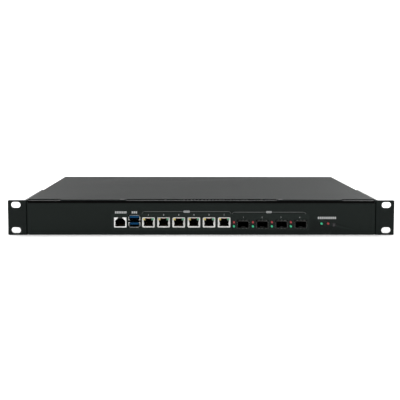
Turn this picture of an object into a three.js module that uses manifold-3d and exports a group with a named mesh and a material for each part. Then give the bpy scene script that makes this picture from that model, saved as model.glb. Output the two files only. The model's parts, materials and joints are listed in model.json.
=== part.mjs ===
// A one-unit rack firewall appliance: chassis, cover, rack ears, front ports and the parts inside it.
// Millimetres, +Z up. The front panel faces -Y, and the origin is under the middle of the whole unit.
import * as THREE from 'three';
import { mergeVertices } from 'three/addons/utils/BufferGeometryUtils.js';
import Module from 'manifold-3d';

const wasm = await Module();
wasm.setup();

// ---- Driving dimensions ----
const EAR_SPAN = 482.6; // across both ears, the 19-inch rack standard
const PANEL_WIDTH = 434.6;
const DEPTH = 360; // front panel's face to rear wall's face
const CAGE_REACH = 1; // how far the cages stand out of the front panel
const STUD_REACH = 9; // how far the earth stud stands out of the rear wall
const SHEET = 1.2;
const COVER_SHEET = 0.8;
const GAP = 0.3; // clearance between neighbouring pieces
const WALL_TOP = 43;
const LIP_DEPTH = 9; // folded strip along the top of the front and rear walls
const PANEL = { bottom: 0.6, top: 40.4, thick: 2 };
const EAR = { thick: 3, flange: 139, slotSpacing: 31.75, slotX: 231.5, slotWide: 12, slotHigh: 7.5 };
const BOARD = { left: -150, right: 190, deep: 200, bottom: 5.2, thick: 1.6 };

const FRONT = CAGE_REACH - (DEPTH + CAGE_REACH + STUD_REACH) / 2;
const BACK = FRONT + DEPTH;
const WALL_FRONT = FRONT + PANEL.thick + GAP; // the tray's front wall stands behind the panel
const INSIDE = WALL_FRONT + SHEET;
const HALF_PANEL = PANEL_WIDTH / 2;
const HALF_TRAY = HALF_PANEL - COVER_SHEET - GAP;
const COVER_BOTTOM = WALL_TOP + GAP;
const COVER_TOP = COVER_BOTTOM + COVER_SHEET;
const EAR_INNER = HALF_PANEL + 0.5;
const EAR_HEIGHT = 43.6;
const BOARD_TOP = BOARD.bottom + BOARD.thick;

// Ports on the front: centre, width, and the bottom and top of what shows through the panel
const CONSOLE = { x: -101.55, wide: 15.5, bottom: 9.4, top: 22.1 };
const USB = { x: -84, wide: 14.8, bottom: 9.4, top: 25, corner: 2.2 };
const LAN = { first: -66.4, pitch: 18.92, count: 6, wide: 15.7, bottom: 9.4, top: 22.2 };
const CAGE = {
  first: 52.1, pitch: 24.03, count: 4, deep: 48,
  wide: 14.9, bottom: 8.2, top: 18.6, wayWide: 13.4, wayBottom: 9.1, wayTop: 17,
};
const LINK_LED = { first: 40.6, pitch: 23.8, radius: 1.5, upper: 16, lower: 11 };
const STATUS_LEDS = { power_led: 150.6, disk_led: 158.8 };
const STATUS_Z = 14.3;
const RESET = { x: 166.1, z: 12.7, radius: 1.9, travel: 0.8 };
const JACK_DEEP = 21;
const NOSE_REACH = 0.5; // how far the jacks stand out of the front panel
const LED_REACH = 0.4;
// The two plates that the ports come through: they fill a window in the front panel
const PORT_WINDOW = { left: -113, right: 135, bottom: 5.4, top: 26.8, split: 37.6 };

// Power supply and fans at the rear
const SUPPLY = { left: -207, wide: 81.5, deep: 150, bottom: 1.5, high: 40.2, sheet: 1 };
const FAN = { side: 40, deep: 20, bore: 18.6, hub: 10.5, tip: 17.6, blades: 7 };
const SUPPLY_FAN = { ...FAN, side: 36, bore: 16.8, hub: 9.5, tip: 15.8 };
const FAN_Z = 21.8;
const SUPPLY_FAN_X = SUPPLY.left + 26.5;
const SYSTEM_FANS = [-40, 20];
const INLET = { x: SUPPLY.left + 62, z: 14.5, wide: 27, high: 19.5 };
const ROCKER = { x: INLET.x, z: 33.2, wide: 19, high: 11, tilt: 7, hole: { wide: 23, high: 15 } };
const SLOT_COVER = { x: 130, z: 24, wide: 112, high: 18.4 };
const STUD = { x: -112, z: 12, radius: 2, nut: 4 };

// ---- Solids ----
function solidOf(geometry) {
  geometry.deleteAttribute('normal');
  geometry.deleteAttribute('uv');
  const merged = mergeVertices(geometry, 1e-4);
  const vertProperties = new Float32Array(merged.attributes.position.array);
  const triVerts = new Uint32Array(merged.index.array);
  return new wasm.Manifold(new wasm.Mesh({ numProp: 3, vertProperties, triVerts }));
}

function geometryOf(solid) {
  const mesh = solid.getMesh();
  const geometry = new THREE.BufferGeometry();
  geometry.setAttribute('position', new THREE.BufferAttribute(mesh.vertProperties, 3));
  geometry.setIndex(new THREE.BufferAttribute(mesh.triVerts, 1));
  geometry.computeVertexNormals();
  return geometry;
}

const addAll = (solids) => solids.reduce((whole, piece) => whole.add(piece));
const cutAll = (body, tools) => tools.reduce((whole, tool) => whole.subtract(tool), body);

function block(x, y, z) {
  const geometry = new THREE.BoxGeometry(x[1] - x[0], y[1] - y[0], z[1] - z[0]);
  geometry.translate((x[0] + x[1]) / 2, (y[0] + y[1]) / 2, (z[0] + z[1]) / 2);
  return solidOf(geometry);
}

const spread = (centre, size) => [centre - size / 2, centre + size / 2];

// Which way each axis of a flat outline, and its extrusion, points in the model
const FRAMES = {
  x: [[0, 1, 0], [0, 0, 1], [1, 0, 0]],
  y: [[-1, 0, 0], [0, 0, 1], [0, 1, 0]],
  z: [[1, 0, 0], [0, 1, 0], [0, 0, 1]],
};

function turned(geometry, axis) {
  const columns = FRAMES[axis].map((direction) => new THREE.Vector3(...direction));
  return geometry.applyMatrix4(new THREE.Matrix4().makeBasis(...columns));
}

// An outline pushed along an axis from one coordinate to another. Along Y the outline's x is
// mirrored, so outlines for that axis are symmetrical or are placed by their own centre.
function prism(shape, axis, from, to, curveSegments = 3) {
  const options = { depth: to - from, bevelEnabled: false, curveSegments };
  const geometry = new THREE.ExtrudeGeometry(shape, options);
  geometry.translate(0, 0, from);
  return solidOf(turned(geometry, axis));
}

function rod(axis, centre, radius, from, to, sides = 16) {
  const geometry = new THREE.CylinderGeometry(radius, radius, to - from, sides);
  geometry.rotateX(Math.PI / 2);
  geometry.translate(0, 0, (from + to) / 2);
  turned(geometry, axis);
  return solidOf(geometry).translate(centre);
}

function roundedBar(width, height, radius) {
  const shape = new THREE.Shape();
  const [x, y] = [width / 2 - radius, height / 2 - radius];
  shape.absarc(x, y, radius, 0, Math.PI / 2);
  shape.absarc(-x, y, radius, Math.PI / 2, Math.PI);
  shape.absarc(-x, -y, radius, Math.PI, Math.PI * 1.5);
  shape.absarc(x, -y, radius, Math.PI * 1.5, Math.PI * 2);
  return shape;
}

function outline(points) {
  return new THREE.Shape(points.map(([x, y]) => new THREE.Vector2(x, y)));
}

// ---- Materials ----
function finish(colour, roughness, metalness) {
  return new THREE.MeshStandardMaterial({ color: colour, roughness, metalness });
}

const blackCoat = finish('#262928', 0.55, 0.2);
const zincSteel = finish('#a9adad', 0.4, 0.9);
const screwSteel = finish('#b9bcbd', 0.3, 1);
const blackScrew = finish('#1b1c1c', 0.4, 0.8);
const jackShield = finish('#d6d8d9', 0.28, 1);
const cageMetal = finish('#8f9494', 0.35, 1);
const blackPlastic = finish('#141515', 0.6, 0);
const bluePlastic = finish('#103e6c', 0.45, 0);
const greenBoard = finish('#1d4a33', 0.5, 0);
const paleAluminium = finish('#c3c6c8', 0.35, 0.95);
const chipTop = finish('#9a9c9c', 0.4, 0.7);
const lensClear = finish('#d8e4dc', 0.15, 0);
const sleeve = finish('#1c1c1e', 0.85, 0);

const group = new THREE.Group();

function place(name, solid, material) {
  const mesh = new THREE.Mesh(geometryOf(solid), material);
  mesh.name = name;
  group.add(mesh);
  return mesh;
}

const lanCentres = Array.from({ length: LAN.count }, (_, i) => LAN.first + LAN.pitch * i);
const cageCentres = Array.from({ length: CAGE.count }, (_, i) => CAGE.first + CAGE.pitch * i);
const ledCentres = Array.from({ length: CAGE.count }, (_, i) => LINK_LED.first + LINK_LED.pitch * i);

// ---- Front openings: one for each port, and one window in the wall behind them ----
function portCut({ wide, bottom, top }, x) {
  return block(spread(x, wide + 2 * GAP), [FRONT - 1, FRONT + PANEL.thick + 1], [bottom - GAP, top + GAP]);
}

function roundHole(x, z, radius) {
  return rod('y', [x, 0, z], radius + GAP, FRONT - 1, FRONT + PANEL.thick + 1, 12);
}

function portWindow() {
  const margin = 4;
  const left = CONSOLE.x - CONSOLE.wide / 2 - margin;
  const right = RESET.x + margin;
  return block([left, right], [WALL_FRONT - 1, INSIDE + 1], [CAGE.bottom - 1, USB.top + 1]);
}

// ---- Chassis ----
const EAR_SCREWS = [32, 108].map((back) => FRONT + back);
const EAR_SCREW_Z = 18;
const FRONT_SCREW_X = 99;
const REAR_SCREW_X = 115;
const LIP_SCREW_INSET = 5;
const COVER_SCREWS = {
  cover_screw_front_left: [-FRONT_SCREW_X, FRONT + LIP_SCREW_INSET],
  cover_screw_front_right: [FRONT_SCREW_X, FRONT + LIP_SCREW_INSET],
  cover_screw_rear_left: [-REAR_SCREW_X, BACK - LIP_SCREW_INSET],
  cover_screw_rear_right: [REAR_SCREW_X, BACK - LIP_SCREW_INSET],
};
const SCREW_RADIUS = 1.5;
const HEAD_RADIUS = 2.9;
const SUPPLY_SCREWS = {
  supply_screw_upper: [SUPPLY.left + 4.4, 37],
  supply_screw_lower: [SUPPLY.left + 47.6, 36],
};

// A fan's grille is a row of level slots that together make a disc
const GRILLE = { radius: SUPPLY_FAN.bore - 0.6, slots: 7, pitch: 4.6, slotHigh: 2.9 };

function grille(x, through) {
  return Array.from({ length: GRILLE.slots }, (_, i) => {
    const level = (i - (GRILLE.slots - 1) / 2) * GRILLE.pitch;
    const far = Math.abs(level) + GRILLE.slotHigh / 2;
    const half = Math.sqrt(GRILLE.radius ** 2 - far ** 2);
    return block([x - half, x + half], through, spread(FAN_Z + level, GRILLE.slotHigh));
  });
}

function rearOpenings() {
  const through = [BACK - SHEET - 1, BACK + 1];
  return [
    ...[SUPPLY_FAN_X, ...SYSTEM_FANS].flatMap((x) => grille(x, through)),
    block(spread(INLET.x, INLET.wide + 2 * GAP), through, spread(INLET.z, INLET.high + 2 * GAP)),
    block(spread(ROCKER.x, ROCKER.hole.wide), through, spread(ROCKER.z, ROCKER.hole.high)),
    block(spread(SLOT_COVER.x, SLOT_COVER.wide - 8), through, spread(SLOT_COVER.z, SLOT_COVER.high - 4)),
    rod('y', [STUD.x, 0, STUD.z], STUD.radius + GAP, ...through),
    ...Object.values(SUPPLY_SCREWS).map(([x, z]) => rod('y', [x, 0, z], SCREW_RADIUS + GAP, ...through)),
  ];
}

const SIDE_VENT = { first: FRONT + 190, pitch: 15, count: 9, wide: 3.2, bottom: 12, top: 28 };

function sideVents() {
  const { first, pitch, count, wide, bottom, top } = SIDE_VENT;
  const lines = Array.from({ length: count }, (_, i) => spread(first + i * pitch, wide));
  return [-1, 1].flatMap((side) => {
    const wall = spread(side * HALF_TRAY, 4 * SHEET);
    return lines.map((line) => block(wall, line, [bottom, top]));
  });
}

const STANDOFF = { radius: 3, sideInset: 8, endInset: 12 };

function standoffs() {
  const { radius, sideInset, endInset } = STANDOFF;
  const rows = [INSIDE + endInset, INSIDE + BOARD.deep / 2, INSIDE + BOARD.deep - endInset];
  const columns = [BOARD.left + sideInset, (BOARD.left + BOARD.right) / 2, BOARD.right - sideInset];
  return rows.flatMap((y) => columns.map((x) => rod('z', [x, y, 0], radius, SHEET / 2, BOARD.bottom, 8)));
}

function baseTray() {
  const across = [-HALF_TRAY, HALF_TRAY];
  const along = [WALL_FRONT, BACK];
  const floor = block(across, along, [0, SHEET]);
  const walls = [-1, 1].map((side) => {
    const centre = side * (HALF_TRAY - SHEET / 2);
    return block(spread(centre, SHEET), along, [0, WALL_TOP]);
  });
  const frontWall = block(across, [WALL_FRONT, INSIDE], [0, WALL_TOP]);
  const frontLip = block(across, [FRONT + GAP, FRONT + LIP_DEPTH], [WALL_TOP - 1, WALL_TOP]);
  const rearWall = block(across, [BACK - SHEET, BACK], [0, WALL_TOP]);
  const rearLip = block(across, [BACK - LIP_DEPTH, BACK], [WALL_TOP - 1, WALL_TOP]);
  const tray = addAll([floor, ...walls, frontWall, frontLip, rearWall, rearLip, ...standoffs()]);
  const lipHoles = Object.values(COVER_SCREWS).map(([x, y]) =>
    rod('z', [x, y, 0], SCREW_RADIUS + GAP, WALL_TOP - 3, WALL_TOP + 1, 12));
  const earHoles = EAR_SCREWS.map((y) =>
    rod('x', [0, y, EAR_SCREW_Z], SCREW_RADIUS + GAP, -HALF_TRAY - 2, HALF_TRAY + 2, 12));
  return cutAll(tray, [portWindow(), ...rearOpenings(), ...sideVents(), ...lipHoles, ...earHoles]);
}

function frontPanel() {
  const plate = block([-HALF_PANEL, HALF_PANEL], [FRONT, FRONT + PANEL.thick], [PANEL.bottom, PANEL.top]);
  const { left, right, bottom, top } = PORT_WINDOW;
  const window = block([left, right], [FRONT - 1, FRONT + PANEL.thick + 1], [bottom, top]);
  const lights = Object.values(STATUS_LEDS).map((x) => roundHole(x, STATUS_Z, LINK_LED.radius));
  return cutAll(plate, [window, ...lights, roundHole(RESET.x, RESET.z, RESET.radius)]);
}

function portPlate(left, right, cuts) {
  const line = [FRONT, FRONT + PANEL.thick];
  return cutAll(block([left, right], line, [PORT_WINDOW.bottom + GAP, PORT_WINDOW.top - GAP]), cuts);
}

function copperPortPlate() {
  return portPlate(PORT_WINDOW.left + GAP, PORT_WINDOW.split - GAP / 2, [
    portCut(CONSOLE, CONSOLE.x),
    portCut(USB, USB.x),
    ...lanCentres.map((x) => portCut(LAN, x)),
  ]);
}

function opticalPortPlate() {
  return portPlate(PORT_WINDOW.split + GAP / 2, PORT_WINDOW.right - GAP, [
    ...cageCentres.map((x) => portCut(CAGE, x)),
    ...ledCentres.map((x) => roundHole(x, LINK_LED.upper, LINK_LED.radius)),
    ...ledCentres.map((x) => roundHole(x, LINK_LED.lower, LINK_LED.radius)),
  ]);
}

function topCover() {
  const tab = { inner: 94, outer: 176 };
  const skirtBottom = 33;
  const sheetLevel = [COVER_BOTTOM, COVER_TOP];
  const along = [FRONT + LIP_DEPTH + GAP, BACK];
  const plate = block([-HALF_PANEL, HALF_PANEL], along, sheetLevel);
  const tabs = [-1, 1].map((side) => {
    const centre = side * (tab.inner + tab.outer) / 2;
    return block(spread(centre, tab.outer - tab.inner), [FRONT + 2 * GAP, along[0] + 1], sheetLevel);
  });
  const skirts = [-1, 1].map((side) =>
    block(spread(side * (HALF_PANEL - COVER_SHEET / 2), COVER_SHEET), along, [skirtBottom, COVER_TOP]));
  const holes = Object.values(COVER_SCREWS).map(([x, y]) => screwCone(HEAD_RADIUS + GAP, x, y, GAP));
  return cutAll(addAll([plate, ...tabs, ...skirts]), holes);
}

// The countersink of a cover screw: a cone through the cover's sheet
function screwCone(topRadius, x, y, extra = 0) {
  const slope = COVER_SHEET + 2 * extra;
  const cone = new THREE.CylinderGeometry(topRadius + extra, topRadius + extra - slope, slope, 16);
  cone.rotateX(Math.PI / 2);
  cone.translate(x, y, (COVER_BOTTOM + COVER_TOP) / 2);
  return solidOf(cone);
}

function coverScrew([x, y]) {
  const shank = rod('z', [x, y, 0], SCREW_RADIUS, WALL_TOP - 6, COVER_TOP - 0.2, 12);
  return screwCone(HEAD_RADIUS, x, y).add(shank);
}

function rackEar(side) {
  const bend = EAR.thick;
  const outer = EAR_SPAN / 2;
  const section = new THREE.Shape();
  section.moveTo(outer, FRONT);
  section.lineTo(outer, FRONT + EAR.thick);
  section.lineTo(EAR_INNER + EAR.thick, FRONT + EAR.thick);
  section.lineTo(EAR_INNER + EAR.thick, FRONT + EAR.flange);
  section.lineTo(EAR_INNER, FRONT + EAR.flange);
  section.lineTo(EAR_INNER, FRONT + bend);
  section.absarc(EAR_INNER + bend, FRONT + bend, bend, Math.PI, Math.PI * 1.5);
  const angle = prism(section, 'z', 0, EAR_HEIGHT, 4);
  const corner = 1.5;
  const inner = EAR_INNER - 10;
  const face = prism(roundedBar(outer - inner, EAR_HEIGHT, corner), 'y', FRONT - 1, FRONT + EAR.flange + 1);
  const rounded = angle.intersect(face.translate([(outer + inner) / 2, 0, EAR_HEIGHT / 2]));
  const slots = [-1, 1].map((level) => {
    const shape = roundedBar(EAR.slotWide, EAR.slotHigh, EAR.slotHigh / 2 - 0.01);
    const z = EAR_HEIGHT / 2 + level * EAR.slotSpacing / 2;
    return prism(shape, 'y', FRONT - 1, FRONT + EAR.thick + 1).translate([EAR.slotX, 0, z]);
  });
  const holes = EAR_SCREWS.map((y) =>
    rod('x', [0, y, EAR_SCREW_Z], SCREW_RADIUS + GAP, EAR_INNER - 1, EAR_INNER + EAR.thick + 1, 12));
  const ear = cutAll(rounded, [...slots, ...holes]);
  return side > 0 ? ear : ear.mirror([1, 0, 0]);
}

// A pan-head screw along X through an ear's side and the tray's wall
function earScrew(side, y) {
  const face = EAR_INNER + EAR.thick + 0.05;
  const shank = rod('x', [0, y, EAR_SCREW_Z], SCREW_RADIUS, HALF_TRAY - 5, face + 0.5, 12);
  const head = rod('x', [0, y, EAR_SCREW_Z], HEAD_RADIUS, face, face + 1.6, 12);
  const screw = shank.add(head);
  return side > 0 ? screw : screw.mirror([1, 0, 0]);
}

place('base_tray', baseTray(), blackCoat);
place('front_panel', frontPanel(), blackCoat);
place('copper_port_plate', copperPortPlate(), blackCoat);
place('optical_port_plate', opticalPortPlate(), blackCoat);
place('top_cover', topCover(), blackCoat);
for (const [word, side] of [['left', -1], ['right', 1]]) {
  place(`rack_ear_${word}`, rackEar(side), blackCoat);
  EAR_SCREWS.forEach((y, i) => place(`ear_screw_${word}_${i + 1}`, earScrew(side, y), blackScrew));
}
for (const [name, spot] of Object.entries(COVER_SCREWS)) place(name, coverScrew(spot), blackScrew);

// ---- Front ports ----
// A modular jack: its nose fills the panel's opening and its body stands on the board behind.
// A way in is an outline about the jack's middle line, from its floor up to the latch's notch.
const CONSOLE_WAY = outline([
  [-6.3, 10.8], [6.3, 10.8], [6.3, 17.8], [2.6, 21.5], [-2.6, 21.5], [-6.3, 17.8],
]);
const LAN_WAY = outline([
  [-6, 11.1], [6, 11.1], [6, 17.9], [3.6, 17.9], [3.6, 21.2], [-3.6, 21.2], [-3.6, 17.9], [-6, 17.9],
]);
const WAY_DEEP = 14;

function modularJack({ wide, bottom, top }, x, way) {
  const nose = block(spread(x, wide), [FRONT - NOSE_REACH, INSIDE + 2], [bottom, top]);
  const body = block(spread(x, wide), [INSIDE + 2 * GAP, FRONT + JACK_DEEP], [BOARD_TOP + GAP, top]);
  return nose.add(body).subtract(prism(way, 'y', FRONT - 1, FRONT + WAY_DEEP).translate([x, 0, 0]));
}

const TONGUES = { usb_tongue_upper: 22.5, usb_tongue_lower: 14.1 };
const USB_SLOT = { wide: 13, high: 5.8, corner: 1.3, deep: 15 };

// A bar with its four corners cut off, centred on its own middle
function chamferedBar(wide, high, corner) {
  const [x, y] = [wide / 2, high / 2];
  return outline([
    [-x + corner, -y], [x - corner, -y], [x, -y + corner], [x, y - corner],
    [x - corner, y], [-x + corner, y], [-x, y - corner], [-x, -y + corner],
  ]);
}

function usbStack() {
  const middle = (USB.bottom + USB.top) / 2;
  const face = chamferedBar(USB.wide, USB.top - USB.bottom, USB.corner);
  const shell = prism(face, 'y', FRONT - NOSE_REACH, FRONT + JACK_DEEP).translate([USB.x, 0, middle]);
  const slot = chamferedBar(USB_SLOT.wide, USB_SLOT.high, USB_SLOT.corner);
  const slots = Object.values(TONGUES).map((z) =>
    prism(slot, 'y', FRONT - 1, FRONT + USB_SLOT.deep).translate([USB.x, 0, z - 1]));
  return cutAll(shell, slots);
}

function usbTongue(z) {
  const [wide, thick] = [11.3, 2.2];
  return block(spread(USB.x, wide), [FRONT + 1, FRONT + USB_SLOT.deep - 0.05], spread(z, thick));
}

function cage(x) {
  const corner = 1.6;
  const [half, high] = [CAGE.wide / 2, CAGE.top - CAGE.bottom];
  const face = outline([
    [-half, 0], [half, 0], [half, high - corner], [half - corner, high],
    [-half + corner, high], [-half, high - corner],
  ]);
  const tube = prism(face, 'y', FRONT - CAGE_REACH, FRONT + CAGE.deep).translate([x, 0, CAGE.bottom]);
  const wayLine = [FRONT - 2, FRONT + CAGE.deep - 1];
  const way = block(spread(x, CAGE.wayWide), wayLine, [CAGE.wayBottom, CAGE.wayTop]);
  return tube.subtract(way);
}

function ledNose(x, z) {
  return rod('y', [x, 0, z], LINK_LED.radius, FRONT - LED_REACH, INSIDE + 3, 12);
}

function linkLeds(x) {
  const holder = block(spread(x, 4), [INSIDE + 1, INSIDE + 9], [BOARD_TOP + GAP, LINK_LED.upper + 2.5]);
  return addAll([holder, ledNose(x, LINK_LED.upper), ledNose(x, LINK_LED.lower)]);
}

function statusLed(x) {
  const holder = block(spread(x, 4), [INSIDE + 1, INSIDE + 7], [BOARD_TOP + GAP, STATUS_Z + 2.5]);
  return holder.add(ledNose(x, STATUS_Z));
}

// The button's stem ends just short of the switch, and its collar keeps it behind the panel
const STEM_END = INSIDE + 5;

function resetButton() {
  const stem = rod('y', [RESET.x, 0, RESET.z], RESET.radius, FRONT + 0.3, STEM_END, 12);
  return stem.add(rod('y', [RESET.x, 0, RESET.z], 3, INSIDE + 0.5, INSIDE + 1.5, 12));
}

function resetSwitch() {
  const [side, top] = [7, 16];
  const front = STEM_END + RESET.travel + 0.2;
  return block(spread(RESET.x, side), [front, front + 6], [BOARD_TOP + GAP, top]);
}

place('console_jack', modularJack(CONSOLE, CONSOLE.x, CONSOLE_WAY), jackShield);
place('usb_stack', usbStack(), cageMetal);
for (const [name, z] of Object.entries(TONGUES)) place(name, usbTongue(z), bluePlastic);
lanCentres.forEach((x, i) => place(`lan_jack_${i + 1}`, modularJack(LAN, x, LAN_WAY), jackShield));
cageCentres.forEach((x, i) => place(`sfp_cage_${i + 1}`, cage(x), cageMetal));
ledCentres.forEach((x, i) => place(`link_leds_${i + 1}`, linkLeds(x), lensClear));
for (const [name, x] of Object.entries(STATUS_LEDS)) place(name, statusLed(x), lensClear);
place('reset_button', resetButton(), blackPlastic);
place('reset_switch', resetSwitch(), blackPlastic);

// ---- Board and what it carries ----
const boardLine = [INSIDE + GAP, INSIDE + GAP + BOARD.deep];
const boardSheet = block([BOARD.left, BOARD.right], boardLine, [BOARD.bottom + 0.05, BOARD_TOP]);
place('motherboard', boardSheet, greenBoard);

const PROCESSOR = { x: 20, y: FRONT + 120, side: 38, top: BOARD_TOP + 4.5 };
const chipAcross = spread(PROCESSOR.x, PROCESSOR.side);
const chipAlong = spread(PROCESSOR.y, PROCESSOR.side);
place('processor', block(chipAcross, chipAlong, [BOARD_TOP + 0.05, PROCESSOR.top]), chipTop);

function heatsink() {
  const [side, fins, finThick, base, top] = [86, 18, 1.2, 4, 36];
  const low = PROCESSOR.top + 0.1;
  const pitch = (side - finThick) / (fins - 1);
  const line = spread(PROCESSOR.y, side);
  const plates = Array.from({ length: fins }, (_, i) => {
    const left = PROCESSOR.x - side / 2 + i * pitch;
    return block([left, left + finThick], line, [low + base - 1, top]);
  });
  return addAll([block(spread(PROCESSOR.x, side), line, [low, low + base]), ...plates]);
}
place('heatsink', heatsink(), paleAluminium);

const MEMORY = { x: 20, length: 133, high: 30, thick: 1.4, y: FRONT + 183 };
function memorySocket() {
  const { x, y, length, thick } = MEMORY;
  const [high, seat] = [9, 3];
  const body = block(spread(x, length + 9), spread(y, 6.6), [BOARD_TOP + 0.05, BOARD_TOP + high]);
  const groove = [BOARD_TOP + seat, BOARD_TOP + high + 1];
  return body.subtract(block(spread(x, length + 2 * GAP), spread(y, thick + 2 * GAP), groove));
}
place('memory_socket', memorySocket(), blackPlastic);
const stickBottom = BOARD_TOP + 3 + GAP;
place('memory_module', block(
  spread(MEMORY.x, MEMORY.length), spread(MEMORY.y, MEMORY.thick), [stickBottom, stickBottom + MEMORY.high],
), greenBoard);

const COIN_CELL = { x: 130, y: FRONT + 180, radius: 10, top: BOARD_TOP + 5 };
const cellSpot = [COIN_CELL.x, COIN_CELL.y, 0];
place('coin_cell', rod('z', cellSpot, COIN_CELL.radius, BOARD_TOP + 0.05, COIN_CELL.top, 24), chipTop);

const DRIVE = { x: 145, y: BACK - 70, wide: 69.9, deep: 100, high: 7, level: 12 };
function driveBracket() {
  const line = spread(DRIVE.y, DRIVE.deep - 10);
  const deck = block(spread(DRIVE.x, DRIVE.wide + 3), line, [DRIVE.level - SHEET, DRIVE.level]);
  const footWide = 9.2;
  const legs = [-1, 1].flatMap((side) => {
    const centre = DRIVE.x + side * (DRIVE.wide + 3) / 2;
    const outward = side * (footWide - SHEET) / 2;
    const foot = block(spread(centre + outward, footWide), line, [SHEET + 0.05, 2 * SHEET]);
    return [block(spread(centre, SHEET), line, [SHEET + 0.05, DRIVE.level]), foot];
  });
  return addAll([deck, ...legs]);
}
place('drive_bracket', driveBracket(), zincSteel);
place('storage_drive', block(
  spread(DRIVE.x, DRIVE.wide), spread(DRIVE.y, DRIVE.deep), [DRIVE.level + 0.05, DRIVE.level + DRIVE.high],
), paleAluminium);

// ---- Fans ----
// A square frame with a round bore, and struts at its outlet that hold the motor's base
function fanFrame(fan, x, back) {
  const line = [back - fan.deep, back];
  const body = prism(roundedBar(fan.side, fan.side, 3), 'y', ...line).translate([x, 0, FAN_Z]);
  const bored = body.subtract(rod('y', [x, 0, FAN_Z], fan.bore, line[0] - 1, back + 1, 28));
  const strut = [back - 2, back - 0.4];
  const strutHigh = 2.2;
  const struts = [0, 1, 2].map((i) => {
    const bar = block([0, fan.bore + 0.8], strut, spread(0, strutHigh));
    return bar.rotate([0, 30 + 120 * i, 0]).translate([x, 0, FAN_Z]);
  });
  return addAll([bored, rod('y', [x, 0, FAN_Z], fan.hub, ...strut, 20), ...struts]);
}

function fanRotor(fan, x, back) {
  const line = [back - fan.deep + 1.2, back - 2.6];
  const hub = rod('y', [x, 0, FAN_Z], fan.hub, ...line, 20);
  const middle = (line[0] + line[1]) / 2;
  const [bladeThick, bladeChord, bladePitch] = [1.2, 14.8, 38];
  const blades = Array.from({ length: fan.blades }, (_, i) => {
    const plate = block([fan.hub - 1.5, fan.tip], spread(0, bladeThick), spread(0, bladeChord));
    const pitched = plate.rotate([bladePitch, 0, 0]).rotate([0, 360 * i / fan.blades, 0]);
    return pitched.translate([x, middle, FAN_Z]);
  });
  const reach = rod('y', [x, 0, FAN_Z], fan.tip, ...line, 28);
  return addAll([hub, ...blades]).intersect(reach);
}

const fanBack = BACK - SHEET - GAP;
SYSTEM_FANS.forEach((x, i) => {
  place(`fan_frame_${i + 1}`, fanFrame(FAN, x, fanBack), blackPlastic);
  place(`fan_rotor_${i + 1}`, fanRotor(FAN, x, fanBack), blackPlastic);
});

// ---- Power supply ----
const SUPPLY_BACK = BACK - SHEET - GAP;
const supplyFanBack = SUPPLY_BACK - SUPPLY.sheet - GAP;

const LEAD = { x: SUPPLY.left + SUPPLY.wide - 14, z: 22, radius: 4 };

function powerSupply() {
  const [left, right] = [SUPPLY.left, SUPPLY.left + SUPPLY.wide];
  const [front, back] = [SUPPLY_BACK - SUPPLY.deep, SUPPLY_BACK];
  const [low, high] = [SUPPLY.bottom, SUPPLY.bottom + SUPPLY.high];
  const skin = SUPPLY.sheet;
  const shell = block([left, right], [front, back], [low, high]);
  const hollow = block([left + skin, right - skin], [front + skin, back - skin], [low + skin, high - skin]);
  const through = [back - skin - 1, back + 1];
  const inner = [front - 1, front + skin + 1];
  const vent = { count: 8, first: left + 9.5, pitch: 5, wide: 3 };
  const vents = Array.from({ length: vent.count }, (_, i) =>
    block(spread(vent.first + i * vent.pitch, vent.wide), inner, [10, 34]));
  return cutAll(shell, [
    hollow,
    rod('y', [SUPPLY_FAN_X, 0, FAN_Z], SUPPLY_FAN.bore - 0.6, ...through, 28),
    block(spread(INLET.x, INLET.wide + 2 * GAP), through, spread(INLET.z, INLET.high + 2 * GAP)),
    block(spread(ROCKER.x, ROCKER.hole.wide), through, spread(ROCKER.z, ROCKER.hole.high)),
    ...Object.values(SUPPLY_SCREWS).map(([x, z]) => rod('y', [x, 0, z], SCREW_RADIUS + GAP, ...through)),
    rod('y', [LEAD.x, 0, LEAD.z], LEAD.radius + 2, ...inner, 16),
    ...vents,
  ]);
}

function inlet() {
  const back = BACK + 1;
  const shape = outline([
    [-13.5, -9.75], [13.5, -9.75], [13.5, 5.5], [9.5, 9.75], [-9.5, 9.75], [-13.5, 5.5],
  ]);
  const recess = outline([
    [-12, -8.2], [12, -8.2], [12, 4.6], [8.4, 8.2], [-8.4, 8.2], [-12, 4.6],
  ]);
  const body = prism(shape, 'y', back - 21, back).subtract(prism(recess, 'y', back - 17, back + 1));
  return body.translate([INLET.x, 0, INLET.z]);
}

// The rocker rests on its lower stop, turned about its upright pin
const ROCKER_PIN_Y = BACK - 4;
function rocker() {
  const [half, face] = [ROCKER.wide / 2 - 0.6, 5.2];
  const section = outline([
    [-half + 1.4, -2], [-3, -6], [3, -6], [half - 1.4, -2], [half, face], [0, face - 1], [-half, face],
  ]);
  const body = prism(section, 'z', -ROCKER.high / 2, ROCKER.high / 2);
  return body.rotate([0, 0, -ROCKER.tilt]).translate([ROCKER.x, ROCKER_PIN_Y, ROCKER.z]);
}

function rockerBezel() {
  const back = BACK + 0.6;
  const [deep, floor, rim] = [16, 1.6, 1.2];
  const inner = { wide: ROCKER.wide + 1, high: ROCKER.high + 1 };
  const collar = block(
    spread(ROCKER.x, inner.wide + 2 * rim), [back - deep, back], spread(ROCKER.z, inner.high + 2 * rim));
  const well = block(
    spread(ROCKER.x, inner.wide), [back - deep + floor, back + 1], spread(ROCKER.z, inner.high));
  return collar.subtract(well);
}

function supplyScrew([x, z]) {
  return rod('y', [x, 0, z], SCREW_RADIUS, BACK - 7, BACK + 0.5, 12).add(
    rod('y', [x, 0, z], HEAD_RADIUS, BACK + 0.05, BACK + 1.6, 12));
}

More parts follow.
